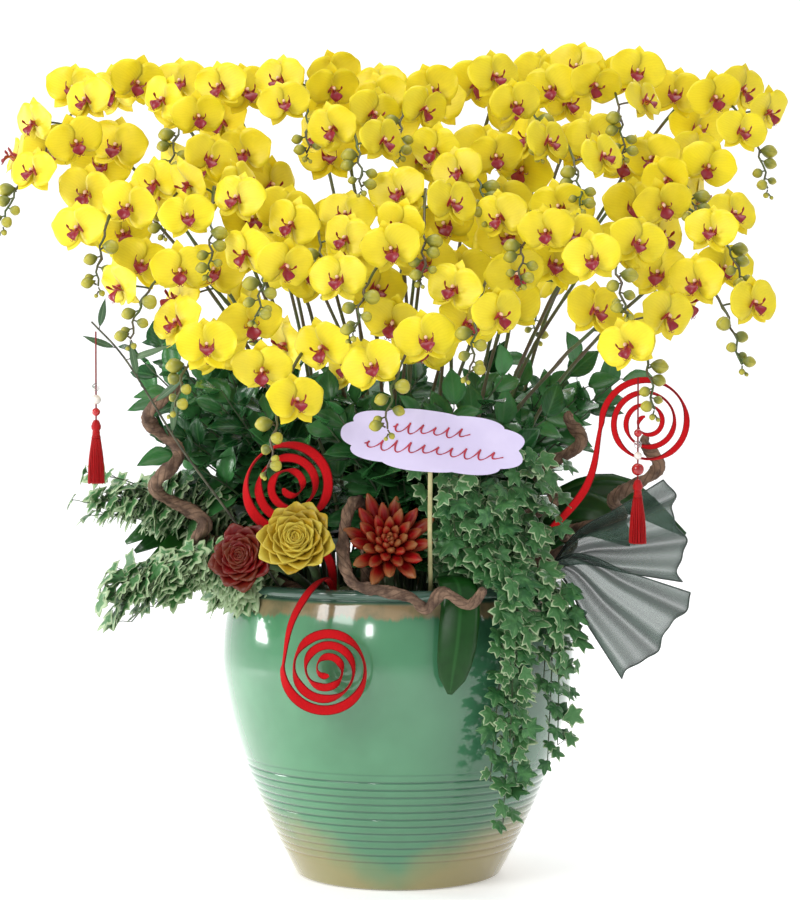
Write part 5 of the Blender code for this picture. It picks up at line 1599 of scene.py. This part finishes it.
for hung, (x, y, top) in CORD_TOPS.items():
    height = top - CORD_FREE
    bits = []
    for radius, number in zip(BEADS[hung], BEAD_COLOURS[hung]):
        turns = np.linspace(0, math.pi, 13)
        bulge = [(radius * math.sin(t), height - radius * (1 - math.cos(t))) for t in turns[1:-1]]
        profile = [(0, height), *bulge, (0, height - 2 * radius)]
        points, faces, _, place = turned(profile[::-1], 20, number)
        bits.append((points + [x, y, 0], faces, number, place))
        height -= 2 * radius + BEAD_GAP
    head = height - 0.002
    points, faces, number, place = turned([(r, head + h) for r, h in TASSEL_HEAD][::-1], 20)
    bits.append((points + [x, y, 0], faces, 0, place))
    bottom = head - TASSEL_LENGTH
    for k in range(THREADS):
        turn, reach = k * GOLDEN_ANGLE, math.sqrt((k + 0.5) / THREADS)
        way = np.array([math.cos(turn), math.sin(turn), 0])
        start = np.array([x, y, head - 0.017]) + way * 0.0044 * reach
        flare = way * (TASSEL_RADIUS - 0.0012) * reach
        end = np.array([x, y, bottom + rng.uniform(0, 0.0012)]) + flare
        end += rng.uniform(-0.0005, 0.0005, 3) * (1, 1, 0)
        middle = 0.5 * (start + end) + way * 0.0014 * reach
        bits.append(tube(smooth_through([start, middle, end], 7), 0.00062, 5, 0, rng.uniform()))
    tassel = piece(f"silk_tassel_{hung}", bits, [RED_SILK, RED_BEAD, CLEAR_BEAD, PEARL_BEAD],
                   [f"tassel_{hung}"])


# ---------------------------------------------------------------- card and stick
# A pale lilac board, die-cut as a cloud, is glued to a split bamboo stick that is pushed into the mix. It
# is decorated with plain crimson flourishes.
CARD_WIDTH, CARD_HEIGHT, CARD_THICKNESS = 0.222, 0.074, 0.0015
CARD_LEAN = math.radians(-6)
CARD_CENTRE = np.array([0.042, -0.276, 0.568])
CARD_RIGHT = np.array([math.cos(CARD_LEAN), 0, math.sin(CARD_LEAN)])
CARD_TOP = np.array([-math.sin(CARD_LEAN), 0, math.cos(CARD_LEAN)])
STICK_RADIUS = 0.0030


def card_spot(x, z, out):
    return CARD_CENTRE + CARD_RIGHT * x + CARD_TOP * z + np.array([0, out, 0])


CARD_PAPER, tree, shader = finish_of("lilac_board", 0.55)
paper = use(tree, CLOUDING, Scale=9.0, Light=(0.66, 0.60, 0.78), Dark=(0.56, 0.50, 0.70), Grain=700.0)
wire(tree, shader, paper["Color"], paper["Height"], 0.08, 0.0004)
CARD_INK, tree, shader = finish_of("crimson_ink", 0.5)
ink = use(tree, CLOUDING, Scale=60.0, Light=(0.42, 0.004, 0.035), Dark=(0.30, 0.002, 0.02), Grain=400.0)
wire(tree, shader, ink["Color"])
outline = []
for turn in np.linspace(0, 2 * math.pi, 216, endpoint=False):
    lobe = 0.915 + 0.085 * abs(math.sin(4.5 * turn)) ** 0.8
    x = 0.5 * CARD_WIDTH * lobe * math.copysign(abs(math.cos(turn)) ** 0.8, math.cos(turn))
    z = 0.5 * CARD_HEIGHT * lobe * math.copysign(abs(math.sin(turn)) ** 0.8, math.sin(turn))
    outline.append((x, z))
half, count = CARD_THICKNESS / 2, len(outline)
board = [card_spot(x, z, out) for out in (-half, half) for x, z in outline]
faces = [tuple(range(count)), tuple(range(count, 2 * count))[::-1]]
faces += [(i, i + count, (i + 1) % count + count, (i + 1) % count) for i in range(count)]
bits = [(np.array(board), faces, 0, np.zeros((2 * count, 3)))]
for height, first, last, waves in ((0.013, -0.052, 0.040, 6), (-0.010, -0.084, 0.082, 10)):
    t = np.linspace(0, 1, 40 * waves)
    swell = np.sin(math.pi * t) ** 0.4
    x = first + (last - first) * t + 0.0042 * np.sin(2 * math.pi * waves * t + 0.6)
    z = height + 0.0082 * swell * np.sin(2 * math.pi * waves * t) * (0.75 + 0.25 * np.sin(9 * t))
    line = np.array([card_spot(a, b, -half - 0.0002) for a, b in zip(x, z)])
    pen = 0.0005 + 0.0008 * np.abs(np.sin(math.pi * waves * t + 0.4))
    bits.append(tube(line, pen, 6, 1))
piece("cloud_card", bits, [CARD_PAPER, CARD_INK], ["greeting_card"], smooth=False)

BAMBOO, tree, shader = finish_of("split_bamboo", 0.5)
cane = use(tree, CLOUDING, Scale=40.0, Light=(0.46, 0.42, 0.20), Dark=(0.28, 0.27, 0.12), Grain=350.0)
wire(tree, shader, cane["Color"], cane["Height"], 0.25, 0.0006)
top_end = CARD_CENTRE + [-0.004, half + STICK_RADIUS + 0.0003, 0.015]
low_end = top_end + [0, 0.002, -0.060]
line = smooth_through([(0.040, -0.178, STANDING), (0.038, -0.240, 0.455), low_end, top_end], 48)
along = travelled(line)
joint = np.exp(-((along - 0.055) / 0.002) ** 2) + np.exp(-((along - 0.150) / 0.002) ** 2)
stick = tube(line, STICK_RADIUS * (0.93 + 0.14 * joint), 12, 0)
piece("bamboo_stick", [stick], [BAMBOO], ["card_stick"])


# ---------------------------------------------------------------- ribbon
# Stiff sheer organza ribbon is gathered in pleats at its foot and fans out at the right. Fine dark wire is
# woven along its edges and holds its shape.
SHEER_GREEN = (0.050, 0.085, 0.068)
SHEER_PALE = (0.12, 0.18, 0.15)
ORGANZA_THICKNESS = 0.0004
HEM_WIRE_RADIUS = 0.0009
WIRE_DARK = (0.030, 0.055, 0.042)
# node: foot, pinch, reach, spread, pleats
FANS = {
    "ribbon_fan_low": ((0.14, -0.08), (0.205, -0.126, 0.412), (0.112, -0.06, -0.085), (0.085, 0.0, 0.105), 2),
    "ribbon_fan_high": ((0.16, -0.055), (0.22, -0.1, 0.425), (0.12, -0.06, 0.03), (-0.02, 0.02, 0.125), 2),
}


def make_organza():
    organza, tree, shader = finish_of("sheer_organza", 0.6, Specular_IOR_Level=0.1)
    where = add(tree, "ShaderNodeTexCoord").outputs["Object"]
    weave = add(tree, "ShaderNodeTexNoise", Vector=where, Scale=900.0, Detail=2.0)
    soft = add(tree, "ShaderNodeTexNoise", Vector=where, Scale=26.0, Detail=3.0)
    colour = blend_of(tree, soft.outputs["Fac"], SHEER_GREEN, SHEER_PALE)
    wire(tree, shader, colour, weave.outputs["Fac"], 0.2, 0.0004)
    edge_on = add(tree, "ShaderNodeLayerWeight", Blend=0.35)
    solid = maths(tree, "ADD", times(tree, edge_on.outputs["Facing"], 0.45), 0.42)
    solid = maths(tree, "ADD", solid, times(tree, weave.outputs["Fac"], 0.12))
    tree.links.new(solid, shader.inputs["Alpha"])
    return organza


ORGANZA = make_organza()
WIRE, tree, shader = finish_of("edge_wire", 0.5)
dark = use(tree, CLOUDING, Scale=80.0, Light=WIRE_DARK, Dark=tuple(0.5 * c for c in WIRE_DARK), Grain=300.0)
wire(tree, shader, dark["Color"])
for name, (foot, pinch, reach, spread, pleats) in FANS.items():
    foot = np.array([*foot, STANDING])
    pinch, reach, spread = np.array([pinch, reach, spread])
    normal = unit(np.cross(reach, spread))
    rows, columns = 26, 73
    middle = smooth_through([foot, pinch, pinch + 0.5 * reach, pinch + reach], rows)
    t, u = np.linspace(0, 1, rows), np.linspace(-0.5, 0.5, columns)
    opened = np.interp(t, [0, 0.30, 0.60, 1.0], [0.07, 0.10, 0.50, 1.0])
    deep = np.interp(t, [0, 0.30, 0.60, 1.0], [0.0030, 0.0060, 0.0135, 0.0165])
    pleat = np.sin(2 * math.pi * pleats * u) + 0.3 * np.sin(2 * math.pi * 2.3 * pleats * u + 1.0)
    grid = middle[:, None] + spread * (opened[:, None] * u)[..., None]
    grid += normal * (deep[:, None] * pleat)[..., None]
    grid += unit(reach) * (np.maximum(t - 0.5, 0)[:, None] * 0.035 * (0.5 - 2.2 * u**2))[..., None]
    made = piece(name.replace("ribbon_fan", "organza"), [shell(grid, ORGANZA_THICKNESS, 0)], [ORGANZA],
                 [name])
    hems = [grid[-1], grid[4:, 0], grid[4:, -1]]
    wires = [tube(hem, HEM_WIRE_RADIUS, 6, 0) for hem in hems]
    edge = piece(name.replace("ribbon_fan", "organza_wire"), wires, [WIRE])
    wide = float(np.mean([length_of(row) for row in grid]))
